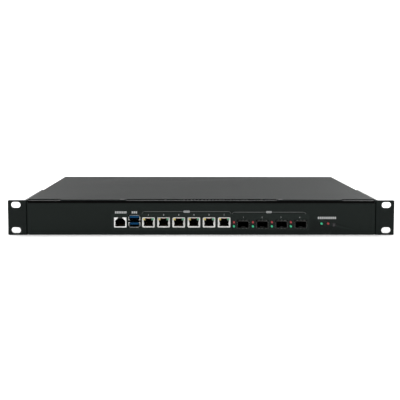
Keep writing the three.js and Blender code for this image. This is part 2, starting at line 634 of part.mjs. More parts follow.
place('power_supply', powerSupply(), zincSteel);
place('supply_fan_frame', fanFrame(SUPPLY_FAN, SUPPLY_FAN_X, supplyFanBack), blackPlastic);
place('supply_fan_rotor', fanRotor(SUPPLY_FAN, SUPPLY_FAN_X, supplyFanBack), blackPlastic);
place('power_inlet', inlet(), blackPlastic);
place('rocker_bezel', rockerBezel(), blackPlastic);
place('power_rocker', rocker(), blackPlastic);
for (const [name, spot] of Object.entries(SUPPLY_SCREWS)) place(name, supplyScrew(spot), screwSteel);

// ---- Rear fittings ----
function slotCover() {
  const line = [BACK - SHEET - GAP - 1, BACK - SHEET - GAP];
  return block(spread(SLOT_COVER.x, SLOT_COVER.wide), line, spread(SLOT_COVER.z, SLOT_COVER.high));
}

function earthStud() {
  const nut = (from, to) => rod('y', [STUD.x, 0, STUD.z], STUD.nut, from, to, 6);
  const shaft = rod('y', [STUD.x, 0, STUD.z], STUD.radius, BACK - SHEET - 3.4, BACK + STUD_REACH, 12);
  return addAll([shaft, nut(BACK + 0.05, BACK + 3.2), nut(BACK - SHEET - 3, BACK - SHEET - 0.05)]);
}

place('slot_cover', slotCover(), zincSteel);
place('earth_stud', earthStud(), screwSteel);

// ---- Lead from the power supply to the board ----
function powerLead() {
  const start = new THREE.Vector3(LEAD.x, SUPPLY_BACK - SUPPLY.deep + 3, LEAD.z);
  const end = new THREE.Vector3(BOARD.left + 22, FRONT + 150, 21);
  const route = new THREE.CatmullRomCurve3([
    start,
    new THREE.Vector3(start.x, start.y - 14, LEAD.z),
    new THREE.Vector3(start.x + 6, start.y - 30, 27),
    new THREE.Vector3(end.x, end.y + 6, 30),
    end,
  ]);
  const section = new THREE.Shape().absarc(0, 0, LEAD.radius, 0, Math.PI * 2);
  const options = { steps: 20, curveSegments: 5, extrudePath: route };
  const tube = solidOf(new THREE.ExtrudeGeometry(section, options));
  const plug = block(spread(end.x, 11), spread(end.y, 52), [BOARD_TOP + GAP, end.z]);
  return tube.add(plug);
}
place('power_lead', powerLead(), sleeve);

export default group;
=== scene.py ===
"""A one-unit rack firewall appliance: its looks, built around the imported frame. Metres."""

import json
import math
import random

import bmesh
import bpy
from mathutils import Matrix, Vector


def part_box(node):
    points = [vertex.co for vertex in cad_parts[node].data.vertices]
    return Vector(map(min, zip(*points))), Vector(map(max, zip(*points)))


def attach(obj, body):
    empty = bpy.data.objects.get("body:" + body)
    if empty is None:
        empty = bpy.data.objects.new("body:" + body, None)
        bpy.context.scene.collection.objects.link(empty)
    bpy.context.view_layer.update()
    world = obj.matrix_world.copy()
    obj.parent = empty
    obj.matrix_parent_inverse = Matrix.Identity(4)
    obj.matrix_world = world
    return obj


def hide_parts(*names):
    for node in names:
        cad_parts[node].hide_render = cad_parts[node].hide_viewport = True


MM = 0.001
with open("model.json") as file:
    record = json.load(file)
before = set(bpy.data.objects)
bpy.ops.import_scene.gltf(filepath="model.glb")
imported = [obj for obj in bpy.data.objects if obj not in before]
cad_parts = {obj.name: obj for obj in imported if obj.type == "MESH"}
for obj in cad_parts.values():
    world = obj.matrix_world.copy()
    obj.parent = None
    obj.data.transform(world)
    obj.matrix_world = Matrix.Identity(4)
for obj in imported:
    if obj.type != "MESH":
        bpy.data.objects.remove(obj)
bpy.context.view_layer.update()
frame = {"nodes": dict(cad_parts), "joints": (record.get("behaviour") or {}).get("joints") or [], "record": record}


# -------- places read from the frame

PANEL_LOW, PANEL_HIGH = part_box("front_panel")
TRAY_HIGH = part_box("base_tray")[1]
FACE_Y = PANEL_LOW.y
REAR_Y = TRAY_HIGH.y


def centre(node):
    """The middle of a CAD node's box."""
    return sum(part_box(node), Vector()) / 2


def way_in(name):
    """The box that a stated opening keeps clear."""
    rows = frame["record"]["physics"]["openings"]
    low, high = next(row["box_m"] for row in rows if row["name"] == name)
    return Vector(low), Vector(high)


# -------- camera, light and stage

def make_camera():
    """Low and nearly square on to the front."""
    data = bpy.data.cameras.new("camera")
    data.sensor_width = 36
    data.lens = 82.57
    data.clip_end = 20
    camera = bpy.data.objects.new("camera", data)
    turn = Matrix.Rotation(math.radians(-0.744), 4, "Z")
    tilt = Matrix.Rotation(math.radians(90 - 6.052), 4, "X")
    roll = Matrix.Rotation(math.radians(0.11), 4, "Z")
    place = Matrix.Translation((-0.0168, FACE_Y - 1.1378, 0.1646))
    camera.matrix_world = place @ turn @ tilt @ roll
    bpy.context.scene.collection.objects.link(camera)
    bpy.context.scene.camera = camera


def area_light(name, location, target, size, watts, seen=True):
    data = bpy.data.lights.new(name, "AREA")
    data.shape = "RECTANGLE"
    data.size, data.size_y = size
    data.energy = watts
    light = bpy.data.objects.new(name, data)
    light.location = location
    light.visible_camera = seen
    light.rotation_euler = (Vector(target) - Vector(location)).to_track_quat("-Z", "Y").to_euler()
    bpy.context.scene.collection.objects.link(light)


def make_lights():
    world = bpy.data.worlds.new("studio")
    world.use_nodes = True
    background = world.node_tree.nodes["Background"]
    background.inputs["Color"].default_value = (1, 1, 1, 1)
    background.inputs["Strength"].default_value = 0.8
    bpy.context.scene.world = world
    bpy.context.scene.view_settings.view_transform = "Standard"
    for side in (-1, 1):
        area_light(f"overhead_{side}", (1.0 * side, 0.3, 1.7), (0.25 * side, 0.1, 0), (0.9, 1.4), 15)
        area_light(f"backdrop_{side}", (1.5 * side, 3.0, 1.8), (1.3 * side, 4.4, 0.6), (1.2, 0.8), 15)
        area_light(f"rim_{side}", (1.0 * side, 1.7, 0.25), (0.2 * side, 0, 0), (0.5, 0.3), 19, seen=False)


# -------- materials

class Finish:
    """A principled material, with short ways to add the nodes that vary it."""

    def __init__(self, name, colour, roughness, metallic=0.0, **sockets):
        self.material = bpy.data.materials.new(name)
        self.material.use_nodes = True
        self.tree = self.material.node_tree
        self.shader = self.tree.nodes["Principled BSDF"]
        self.shader.inputs["Base Color"].default_value = (*colour, 1)
        self.shader.inputs["Roughness"].default_value = roughness
        self.shader.inputs["Metallic"].default_value = metallic
        for socket, value in sockets.items():
            self.shader.inputs[socket.replace("_", " ")].default_value = value
        self.place = self.add("ShaderNodeTexCoord").outputs["Object"]

    def add(self, kind, inputs=None, **settings):
        node = self.tree.nodes.new(kind)
        for key, value in settings.items():
            setattr(node, key, value)
        for key, value in (inputs or {}).items():
            if isinstance(value, bpy.types.NodeSocket):
                self.tree.links.new(value, node.inputs[key])
            else:
                node.inputs[key].default_value = value
        return node

    def noise(self, per_metre, detail=2.0, stretch=(1, 1, 1), rough=0.5):
        """A noise with this many features to the metre, drawn out along the small axes of stretch."""
        mapping = self.add("ShaderNodeMapping", {"Vector": self.place, "Scale": stretch})
        inputs = {"Vector": mapping.outputs[0], "Scale": per_metre, "Detail": detail, "Roughness": rough}
        return self.add("ShaderNodeTexNoise", inputs).outputs["Fac"]

    def ramp(self, value, low, high, start=0.35, end=0.65):
        """Carries a noise value to a number between low and high."""
        inputs = {"Value": value, "From Min": start, "From Max": end, "To Min": low, "To Max": high}
        return self.add("ShaderNodeMapRange", inputs).outputs["Result"]

    def blend_colour(self, factor, first, second):
        mix = self.add("ShaderNodeMix", data_type="RGBA")
        self.tree.links.new(factor, mix.inputs["Factor"])
        for socket, colour in ((mix.inputs[6], first), (mix.inputs[7], second)):
            if isinstance(colour, bpy.types.NodeSocket):
                self.tree.links.new(colour, socket)
            else:
                socket.default_value = (*colour, 1)
        return mix.outputs[2]

    def drive(self, socket, value):
        self.tree.links.new(value, self.shader.inputs[socket])
        return self

    def bump(self, height, depth, strength=1.0):
        """Raises the surface by the height value, up to depth metres."""
        inputs = {"Height": height, "Distance": depth, "Strength": strength}
        previous = self.shader.inputs["Normal"].links
        if previous:
            inputs["Normal"] = previous[0].from_socket
        return self.drive("Normal", self.add("ShaderNodeBump", inputs).outputs["Normal"])


def tinted(colour, amount):
    return tuple(channel * amount for channel in colour)


def powder_coat(name, colour, roughness, pebble=1500, gloss=0.1, cloudy=0.1):
    """Fine-textured paint: a pebbled surface, cloudy gloss and sharp edges painted lighter as a painted edge
    highlight.
    """
    paint = Finish(name, colour, roughness, Specular_IOR_Level=gloss)
    cloud = paint.noise(9, 3)
    pebbles = paint.noise(pebble, 2, rough=0.6)
    # Sharp edges painted up to twice as light: a painted edge highlight.
    edge_highlight = paint.ramp(paint.add("ShaderNodeNewGeometry").outputs["Pointiness"], 0, 0.5, 0.52, 0.62)
    body = paint.blend_colour(paint.ramp(cloud, 0, 1), tinted(colour, 1 - cloudy), tinted(colour, 1 + cloudy))
    paint.drive("Base Color", paint.blend_colour(edge_highlight, body, tinted(colour, 3.0)))
    speckle = paint.ramp(pebbles, roughness - 0.06, roughness + 0.06)
    paint.drive("Roughness", speckle)
    return paint.bump(pebbles, 0.04 * MM, 0.5).bump(cloud, 0.25 * MM, 0.15).material


def plated(name, colour, roughness, grain=(1, 1, 12)):
    """Plated sheet: a faint rolled grain, handling smudges and a little tarnish."""
    metal = Finish(name, colour, roughness, 1.0)
    rolled = metal.noise(500, 2, grain)
    smudge = metal.noise(120, 4)
    metal.drive("Base Color", metal.blend_colour(metal.ramp(smudge, 0, 1), colour, tinted(colour, 0.82)))
    metal.drive("Roughness", metal.ramp(smudge, roughness * 0.8, roughness * 1.35))
    return metal.bump(rolled, 0.01 * MM, 0.4).material


def galvanised(name, colour, roughness):
    """Zinc-coated sheet with its spangle of flat crystals."""
    zinc = Finish(name, colour, roughness, 1.0)
    cells = zinc.add("ShaderNodeTexVoronoi", {"Vector": zinc.place, "Scale": 140, "Randomness": 1.0})
    shade = zinc.add("ShaderNodeSeparateColor", {"Color": cells.outputs["Color"]}).outputs["Red"]
    zinc.drive("Base Color", zinc.blend_colour(shade, tinted(colour, 0.8), tinted(colour, 1.1)))
    zinc.drive("Roughness", zinc.ramp(shade, roughness * 0.75, roughness * 1.2, 0, 1))
    return zinc.bump(zinc.noise(700, 2), 0.01 * MM, 0.3).material


def moulded(name, colour, roughness, grain=1800, **sockets):
    """Injection-moulded plastic with a fine spark-eroded grain."""
    plastic = Finish(name, colour, roughness, **sockets)
    fine = plastic.noise(grain, 2)
    broad = plastic.noise(60, 2)
    plastic.drive("Base Color", plastic.blend_colour(plastic.ramp(broad, 0, 1), colour, tinted(colour, 1.25)))
    plastic.drive("Roughness", plastic.ramp(fine, roughness - 0.07, roughness + 0.07))
    return plastic.bump(fine, 0.02 * MM, 0.4).material


def lens(name, colour, glow):
    """A tinted diffusing lens, lit from inside."""
    clear = Finish(name, colour, 0.3, Coat_Weight=0.15, Transmission_Weight=0.1, Emission_Strength=glow)
    clear.shader.inputs["Emission Color"].default_value = (*colour, 1)
    cloud = clear.noise(900, 2)
    body = clear.blend_colour(clear.ramp(cloud, 0, 1), tinted(colour, 0.4), tinted(colour, 0.3))
    clear.drive("Base Color", body)
    return clear.bump(cloud, 0.01 * MM, 0.2).material


def solder_mask(name, colour):
    """A circuit board's face: copper tracks under a glossy coloured coat, with plated via holes."""
    board = Finish(name, colour, 0.35, Specular_IOR_Level=0.5)
    tracks = board.add("ShaderNodeTexBrick", {"Vector": board.place, "Scale": 90.0, "Mortar Size": 0.035})
    tracks.inputs["Color1"].default_value = (0, 0, 0, 1)
    tracks.inputs["Color2"].default_value = (0.35, 0.35, 0.35, 1)
    tracks.inputs["Mortar"].default_value = (1, 1, 1, 1)
    lines = board.ramp(tracks.outputs["Color"], 0, 1, 0.3, 0.9)
    regions = board.ramp(board.noise(35, 1), 0, 1, 0.48, 0.52)
    shown = board.add("ShaderNodeMath", {0: lines, 1: regions}, operation="MULTIPLY").outputs[0]
    vias = board.add("ShaderNodeTexVoronoi", {"Vector": board.place, "Scale": 260, "Randomness": 0.9})
    dots = board.ramp(vias.outputs["Distance"], 1, 0, 0.1, 0.14)
    coat = board.blend_colour(shown, colour, tinted(colour, 2.1))
    board.drive("Base Color", board.blend_colour(dots, coat, (0.35, 0.36, 0.3)))
    return board.bump(shown, 0.03 * MM, 0.6).bump(board.noise(1500, 2), 0.01 * MM, 0.3).material


def braided(name, colour):
    """Woven nylon sleeve."""
    sleeve = Finish(name, colour, 0.6, Sheen_Weight=0.3)
    weave = sleeve.add("ShaderNodeTexVoronoi", {"Vector": sleeve.place, "Scale": 900, "Randomness": 0.3})
    sleeve.drive("Base Color", sleeve.blend_colour(weave.outputs["Distance"], tinted(colour, 2.5), colour))
    return sleeve.bump(weave.outputs["Distance"], 0.2 * MM, 0.6).material


def printed(name, colour, **sockets):
    """Screen-printed ink, slightly uneven."""
    ink = Finish(name, colour, 0.55, **sockets)
    thin = ink.noise(2500, 3)
    ink.drive("Base Color", ink.blend_colour(ink.ramp(thin, 0, 1), colour, tinted(colour, 0.7)))
    return ink.bump(thin, 0.005 * MM, 0.3).material


def pale_floor():
    floor = Finish("pale_floor", (0.9, 0.9, 0.9), 0.9, Emission_Strength=0.12)
    floor.shader.inputs["Emission Color"].default_value = (1, 1, 1, 1)
    mottle = floor.ramp(floor.noise(220, 3), 0, 1)
    floor.drive("Base Color", floor.blend_colour(mottle, (0.9, 0.9, 0.9), (0.88, 0.88, 0.88)))
    return floor.material


BLACK_COAT = powder_coat("satin_black_coat", (0.0095, 0.0108, 0.0104), 0.42)
COVER_COAT = powder_coat("cover_black_coat", (0.0078, 0.009, 0.0086), 0.55, 1500, 0.03, 0.03)
PANEL_COAT = powder_coat("panel_black_coat", (0.0058, 0.0082, 0.0072), 0.5, 2200)
EAR_COAT = powder_coat("ear_black_coat", (0.0068, 0.0098, 0.0088), 0.45)
BLACK_SCREW = plated("black_oxide", (0.05, 0.05, 0.052), 0.35)
BRIGHT_STEEL = plated("bright_zinc", (0.62, 0.63, 0.65), 0.25)
NICKEL = plated("bright_nickel", (0.6, 0.595, 0.58), 0.24)
WHITE_METAL = plated("pale_nickel", (0.82, 0.82, 0.81), 0.3)
TINNED = plated("tinned_steel", (0.5, 0.51, 0.5), 0.36)
# Tin darkened far below its own tone: painted shade, for the cages and for the parts deep inside the ports and
# cages.
SHADED_TIN = plated("shaded_tin", (0.05, 0.052, 0.05), 0.45)
GALVANISED = galvanised("galvanised_sheet", (0.5, 0.52, 0.53), 0.38)
ALUMINIUM = plated("plain_aluminium", (0.66, 0.67, 0.69), 0.32, (1, 0.05, 1))
CHIP_LID = plated("nickel_lid", (0.6, 0.6, 0.6), 0.3, (1, 12, 1))
GOLD = plated("gold_contact", (0.85, 0.6, 0.22), 0.22)
# Gold darkened to the tone it shows deep inside a jack: painted shade.
SHADED_GOLD = plated("shaded_gold_contact", (0.1, 0.066, 0.026), 0.45)
COPPER = plated("copper", (0.75, 0.38, 0.22), 0.3)
BLUE_PLASTIC = moulded("usb_blue", (0.001, 0.046, 0.125), 0.45, Specular_IOR_Level=0.08)
BLACK_PLASTIC = moulded("black_nylon", (0.012, 0.012, 0.012), 0.5)
# Near-black with almost no gloss: the jacks' black inserts, and painted shade where it lines the USB shell and
# fills the gap under the tray's lip.
BLACK_NYLON_AND_SHADE = moulded("matt_black_nylon_and_painted_shade", (0.002, 0.002, 0.002), 0.7, Specular_IOR_Level=0.02)
GREY_PLASTIC = moulded("grey_nylon", (0.12, 0.12, 0.125), 0.5)
WHITE_PLASTIC = moulded("white_nylon", (0.6, 0.59, 0.55), 0.45)
GLOSS_PLASTIC = moulded("polished_nylon", (0.012, 0.012, 0.013), 0.22)
PALE_CERAMIC = moulded("pale_ceramic", (0.35, 0.27, 0.18), 0.45)
CHIP_PLASTIC = moulded("chip_epoxy", (0.018, 0.018, 0.019), 0.6, 2600)
BOARD_GREEN = solder_mask("green_solder_mask", (0.008, 0.075, 0.03))
SLEEVE = braided("braided_sleeve", (0.012, 0.012, 0.013))
INK = printed("grey_ink", (0.12, 0.125, 0.122))
BRIGHT_INK = printed("pale_ink", (0.5, 0.51, 0.51))
MID_INK = printed("mid_ink", (0.3, 0.31, 0.31))
FAINT_INK = printed("faint_ink", (0.008, 0.0105, 0.0095), Specular_IOR_Level=0.1)
LABEL_PAPER = printed("label_paper", (0.6, 0.6, 0.58))
GREEN_LENS = lens("green_lens", (0.04, 0.5, 0.25), 0.65)
RED_LENS = lens("red_lens", (0.4, 0.04, 0.045), 0.55)
YELLOW_LENS = lens("yellow_lens", (0.5, 0.39, 0.07), 0.6)
JACK_GREEN_LENS = lens("jack_green_lens", (0.03, 0.24, 0.1), 0.6)


# -------- mesh tools

def span(origin, low, high):
    """A stretch of an axis, from a place on it and two offsets in millimetres."""
    return origin + low * MM, origin + high * MM


def block(x, y, z):
    """The two corners of a box, from its stretch of each axis."""
    return tuple(zip(x, y, z))


def verts_of(geom):
    return [item for item in geom if isinstance(item, bmesh.types.BMVert)]


def edges_of(geom):
    return [item for item in geom if isinstance(item, bmesh.types.BMEdge)]


def faces_at(verts):
    return list({face for vert in verts for face in vert.link_faces})


def join_in(bm, other):
    """Moves the shapes of another mesh into this one."""
    mesh = bpy.data.meshes.new("joined")
    other.to_mesh(mesh)
    other.free()
    bm.from_mesh(mesh)
    bpy.data.meshes.remove(mesh)


def slab(bm, low, high):
    """A box between two corners."""
    low, high = Vector(low), Vector(high)
    verts = bmesh.ops.create_cube(bm, size=1)["verts"]
    bmesh.ops.scale(bm, vec=high - low, verts=verts)
    bmesh.ops.translate(bm, vec=(low + high) / 2, verts=verts)
    return verts


TURN = {
    "x": Matrix.Rotation(math.pi / 2, 4, "Y"),
    "y": Matrix.Rotation(-math.pi / 2, 4, "X"),
    "z": Matrix.Identity(4),
}


def rod(bm, axis, middle, radius, length, segments=24, end_radius=None):
    """A rod, or a cone when end_radius is given, along an axis."""
    end_radius = radius if end_radius is None else end_radius
    spot = Matrix.Translation(middle) @ TURN[axis]
    return bmesh.ops.create_cone(bm, cap_ends=True, segments=segments, radius1=radius,
                                 radius2=end_radius, depth=length, matrix=spot)["verts"]


def ring(bm, axis, middle, outer, inner, length, segments=32):
    """A washer or short tube along an axis: a square section spun round."""
    corners = [(outer, -length / 2), (outer, length / 2), (inner, length / 2), (inner, -length / 2)]
    before = set(bm.verts)
    verts = [bm.verts.new((r, 0, h)) for r, h in corners]
    edges = [bm.edges.new((verts[i], verts[(i + 1) % 4])) for i in range(4)]
    bmesh.ops.spin(bm, geom=verts + edges, axis=(0, 0, 1), cent=(0, 0, 0), angle=math.tau,
                   steps=segments, use_merge=True)
    made = [v for v in bm.verts if v not in before]
    bmesh.ops.recalc_face_normals(bm, faces=faces_at(made))
    bmesh.ops.transform(bm, matrix=Matrix.Translation(middle) @ TURN[axis], verts=made)
    return made


def lathe(bm, axis, place, profile, segments=24):
    """A solid of revolution. Its profile runs from pole to pole as (radius, height) along an axis."""
    before = set(bm.verts)
    verts = [bm.verts.new((r, 0, h)) for r, h in profile]
    edges = [bm.edges.new(pair) for pair in zip(verts, verts[1:])]
    bmesh.ops.spin(bm, geom=verts + edges, axis=(0, 0, 1), cent=(0, 0, 0), angle=math.tau,
                   steps=segments, use_merge=True)
    made = [v for v in bm.verts if v not in before]
    bmesh.ops.remove_doubles(bm, verts=made, dist=0.001 * MM)
    made = [v for v in made if v.is_valid]
    bmesh.ops.recalc_face_normals(bm, faces=faces_at(made))
    bmesh.ops.transform(bm, matrix=Matrix.Translation(place) @ TURN[axis], verts=made)


def round_over(bm, edges, width, segments):
    bmesh.ops.bevel(bm, geom=edges, offset=width, offset_type="OFFSET", segments=segments,
                    profile=0.5, affect="EDGES", material=-1, clamp_overlap=True)


def ease_edges(bm, width, segments=2, angle=30):
    """Rounds the edges sharper than an angle in degrees."""
    limit = math.radians(angle)
    edges = [e for e in bm.edges if len(e.link_faces) == 2 and e.calc_face_angle(0) > limit]
    round_over(bm, edges, width, segments)


def smooth_object(name, bm, material):
    mesh = bpy.data.meshes.new(name)
    bm.to_mesh(mesh)
    bm.free()
    mesh.materials.append(material)
    for polygon in mesh.polygons:
        polygon.use_smooth = True
    made = bpy.data.objects.new(name, mesh)
    bpy.context.scene.collection.objects.link(made)
    return made


def finish_piece(name, bm, material, body="chassis", smooth=25):
    """Makes the object, which rides on a body and takes the given finish."""
    piece = smooth_object(name, bm, material)
    piece.data.set_sharp_from_angle(angle=math.radians(smooth))
    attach(piece, body)
    return piece


def slabs_piece(name, boxes, material, ease=0.1 * MM, body="chassis"):
    """A piece made of separate eased boxes."""
    bm = bmesh.new()
    for low, high in boxes:
        slab(bm, low, high)
    if ease:
        ease_edges(bm, ease)
    return finish_piece(name, bm, material, body)


def merged_copy(node):
    """A CAD node's mesh with its loose triangles joined up."""
    bm = bmesh.new()
    bm.from_mesh(frame["nodes"][node].data)
    bmesh.ops.remove_doubles(bm, verts=bm.verts[:], dist=0.002 * MM)
    return bm


def round_nose(bm, radius):
    """Rounds the four corners that a port's nose shows through the panel."""
    reach = [min(v.co.x for v in bm.verts), max(v.co.x for v in bm.verts)]
    corners = []
    for edge in bm.edges:
        start, end = (v.co for v in edge.verts)
        at_side = min(abs(start.x - side) for side in reach) < 0.01 * MM
        along = abs(start.y - end.y) > 1 * MM and (start - end).xz.length < 0.01 * MM
        if at_side and along and min(start.y, end.y) < FACE_Y:
            corners.append(edge)
    round_over(bm, corners, radius, 4)


def eased_copy(node, material, width, segments=2, body="chassis", smooth=25, nose=0):
    """A copy of a CAD node with its sharp edges rounded, which stands for the node."""
    bm = merged_copy(node)
    if nose:
        round_nose(bm, nose)
    ease_edges(bm, width, segments, 40)
    piece = finish_piece(f"{node}_eased", bm, material, body, smooth)
    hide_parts(node)
    return piece


def dress(node, material):
    """Gives a CAD node that is shown as it is its finish."""
    target = frame["nodes"][node]
    target.data.materials.clear()
    target.data.materials.append(material)


make_camera()
make_lights()


# -------- chassis, panel and ears

def front_panel():
    """The panel and the two port plates in its window, with their joints filled and painted over."""
    plates = ("copper_port_plate", "optical_port_plate")
    boxes = [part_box(node) for node in plates]
    bm = merged_copy("front_panel")
    for node in plates:
        bm.from_mesh(frame["nodes"][node].data)
    bmesh.ops.remove_doubles(bm, verts=bm.verts[:], dist=0.002 * MM)
    reach = 0.45 * MM

    def on_joint(face):
        """True for the edge walls of a plate and for the walls of the window, which face it."""
        spot, across = face.calc_center_median(), abs(face.normal.x) > 0.9
        for low, high in boxes:
            beside_x = min(abs(spot.x - low.x), abs(spot.x - high.x)) < reach
            beside_z = min(abs(spot.z - low.z), abs(spot.z - high.z)) < reach
            within_z = all(low.z - reach < v.co.z < high.z + reach for v in face.verts)
            if (beside_x and within_z) if across else beside_z:
                return abs(face.normal.y) < 0.1
        return False

    bmesh.ops.delete(bm, geom=[f for f in bm.faces if on_joint(f)], context="FACES_ONLY")
    for y in (PANEL_LOW.y, PANEL_HIGH.y):
        rims = [e for e in bm.edges if e.is_boundary and all(abs(v.co.y - y) < 0.01 * MM for v in e.verts)]
        bmesh.ops.triangle_fill(bm, edges=rims, use_beauty=True, use_dissolve=False, normal=(0, 1, 0))
    bmesh.ops.recalc_face_normals(bm, faces=bm.faces[:])
    ease_edges(bm, 0.25 * MM, 2, 40)
    piece = finish_piece("front_panel_painted", bm, PANEL_COAT, smooth=10)
    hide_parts("front_panel", *plates)


def lip_shadow_strip():
    """A matt black strip that closes the gap between the panel's top edge and the tray's lip: painted shade for
    the shadow in that gap.
    """
    half = PANEL_HIGH.x - 1 * MM
    level = (PANEL_HIGH.z - 0.5 * MM, TRAY_HIGH.z - 0.25 * MM)
    strip = block((-half, half), span(FACE_Y, -0.05, 1), level)
    slabs_piece("lip_shadow_strip", [strip], BLACK_NYLON_AND_SHADE, 0.05 * MM)


def chassis():
    eased_copy("base_tray", BLACK_COAT, 0.2 * MM, smooth=10)
    front_panel()
    lip_shadow_strip()
    eased_copy("top_cover", COVER_COAT, 0.2 * MM, body="cover", smooth=10)
    for side in ("left", "right"):
        eased_copy(f"rack_ear_{side}", EAR_COAT, 0.35 * MM, 3, smooth=10)


def cross_recess_head(bm, place, radius, height, rim=0.0):
    """A screw head, its top at the origin facing +Z, with a cross-shaped recess, then put in place."""
    before = set(bm.verts)
    arm, narrow, deep = radius * 0.62, radius * 0.16, radius * 0.5
    disc = bmesh.ops.create_circle(bm, segments=24, radius=radius - rim)["verts"]
    outer = list({e for v in disc for e in v.link_edges})
    corners = [(arm, narrow), (narrow, narrow), (narrow, arm)]
    cross = []
    for quarter in range(4):
        turn = Matrix.Rotation(math.pi / 2 * quarter, 4, "Z")
        cross += [bm.verts.new(turn @ Vector((x, y, 0))) for x, y in corners]
    inner = [bm.edges.new((v, cross[(i + 1) % 12])) for i, v in enumerate(cross)]
    bmesh.ops.bridge_loops(bm, edges=outer + inner)
    sunk = bmesh.ops.extrude_edge_only(bm, edges=inner)["geom"]
    sunk_verts = verts_of(sunk)
    bmesh.ops.translate(bm, vec=(0, 0, -deep), verts=sunk_verts)
    bmesh.ops.scale(bm, vec=(0.6, 0.6, 1), verts=sunk_verts)
    bmesh.ops.contextual_create(bm, geom=edges_of(sunk))
    loop = outer
    for widen, drop in ((rim, rim * 0.8), (0, height - rim * 0.8)):
        if drop <= 0:
            continue
        made = bmesh.ops.extrude_edge_only(bm, edges=loop)["geom"]
        verts = verts_of(made)
        grow = 1 + widen / (radius - rim)
        bmesh.ops.translate(bm, vec=(0, 0, -drop), verts=verts)
        bmesh.ops.scale(bm, vec=(grow, grow, 1), verts=verts)
        loop = edges_of(made)
    bmesh.ops.contextual_create(bm, geom=loop)
    made = [v for v in bm.verts if v not in before]
    bmesh.ops.recalc_face_normals(bm, faces=faces_at(made))
    bmesh.ops.transform(bm, matrix=place, verts=made)


def facing(point, direction):
    """Puts +Z of a shape at a point, looking along a direction."""
    return Matrix.Translation(point) @ Vector(direction).to_track_quat("Z", "Y").to_matrix().to_4x4()


def screw(node, direction, material, body="chassis", head=1.6 * MM, rim=0.5 * MM):
    """A cross-recess screw in place of a CAD node. direction points out of its head."""
    low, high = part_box(node)
    direction = Vector(direction)
    middle = (low + high) / 2
    half = abs((high - low).dot(direction)) / 2
    top = middle + direction * half
    across = sorted(high - low)[0] / 2
    bm = bmesh.new()
    spin_seed = Matrix.Rotation(sum(ord(letter) for letter in node), 4, "Z")
    cross_recess_head(bm, facing(top, direction) @ spin_seed, across, head, rim)
    shank = 2 * half - head
    axis = "xyz"[[abs(round(c)) for c in direction].index(1)]
    rod(bm, axis, top - direction * (head + shank / 2 - 0.1 * MM), 1.45 * MM, shank, 16)
    piece = finish_piece(f"{node}_detail", bm, material, body, 40)
    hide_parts(node)


def screws():
    for side, out in (("left", -1), ("right", 1)):
        for index in (1, 2):
            screw(f"ear_screw_{side}_{index}", (out, 0, 0), BLACK_SCREW)
        for end in ("front", "rear"):
            screw(f"cover_screw_{end}_{side}", (0, 0, 1), BLACK_SCREW, "cover", 0.8 * MM, 0.1 * MM)
    for level in ("upper", "lower"):
        screw(f"supply_screw_{level}", (0, 1, 0), BRIGHT_STEEL)


# -------- printing on the panel

INK_THICK = 0.03 * MM


def ink_path(bm, points, width):
    """A printed line through points on the panel's face."""
    for (x0, z0), (x1, z1) in zip(points, points[1:]):
        run = math.hypot(x1 - x0, z1 - z0) + width * 0.8
        verts = slab(bm, (-run / 2, -INK_THICK / 2, -width / 2), (run / 2, INK_THICK / 2, width / 2))
        turn = Matrix.Rotation(-math.atan2(z1 - z0, x1 - x0), 4, "Y")
        spot = Matrix.Translation(((x0 + x1) / 2, FACE_Y - INK_THICK / 2, (z0 + z1) / 2))
        bmesh.ops.transform(bm, matrix=spot @ turn, verts=verts)


def bracket(bm, left, right, level, pill, foot):
    """A line over a row of ports, with rounded shoulders and a gap for its label."""
    width, radius = 0.5 * MM, 3.4 * MM

    def shoulder(x, side):
        steps = [math.pi / 2 * i / 5 for i in range(6)]
        return [(x + side * radius * math.sin(a), level - foot * (1 - math.cos(a))) for a in steps]

    ink_path(bm, shoulder(left, -1)[::-1] + [(pill[0] - 0.6 * MM, level)], width)
    ink_path(bm, [(pill[1] + 0.6 * MM, level)] + shoulder(right, 1), width)


def lozenge(bm, x, z):
    """A filled label with pointed ends, left blank."""
    middle, half = (z[0] + z[1]) / 2, (z[1] - z[0]) / 2
    outline = [(x[0], middle), (x[0] + half, z[0]), (x[1] - half, z[0]),
               (x[1], middle), (x[1] - half, z[1]), (x[0] + half, z[1])]
    verts = [bm.verts.new((px, FACE_Y, pz)) for px, pz in outline]
    moved = verts_of(bmesh.ops.extrude_face_region(bm, geom=[bm.faces.new(verts)])["geom"])
    bmesh.ops.translate(bm, vec=(0, -INK_THICK, 0), verts=moved)
    bmesh.ops.recalc_face_normals(bm, faces=faces_at(verts + moved))


def dashes(bm, x, z, count):
    """A row of small plain bars where a word would be."""
    step = (x[1] - x[0]) / count
    for i in range(count):
        left = x[0] + i * step
        slab(bm, *block((left, left + step * 0.74), (FACE_Y - INK_THICK, FACE_Y), z))


def digits(name, numbers, level, height, ink):
    """Port numbers, as flat raised ink on the panel."""
    bm = bmesh.new()
    for text, x in numbers:
        curve = bpy.data.curves.new(f"{name}_{text}", "FONT")
        curve.body = text
        curve.size = height * 1.38
        curve.align_x = "CENTER"
        curve.extrude = INK_THICK / 2
        curve.offset = 0.06 * MM
        holder = bpy.data.objects.new(f"{name}_{text}", curve)
        bpy.context.scene.collection.objects.link(holder)
        bpy.context.view_layer.update()
        mesh = bpy.data.meshes.new_from_object(holder)
        bpy.data.objects.remove(holder)
        spot = Matrix.Translation((x, FACE_Y - INK_THICK / 2, level - height / 2))
        mesh.transform(spot @ Matrix.Rotation(math.pi / 2, 4, "X"))
        bm.from_mesh(mesh)
    return finish_piece(name, bm, ink)


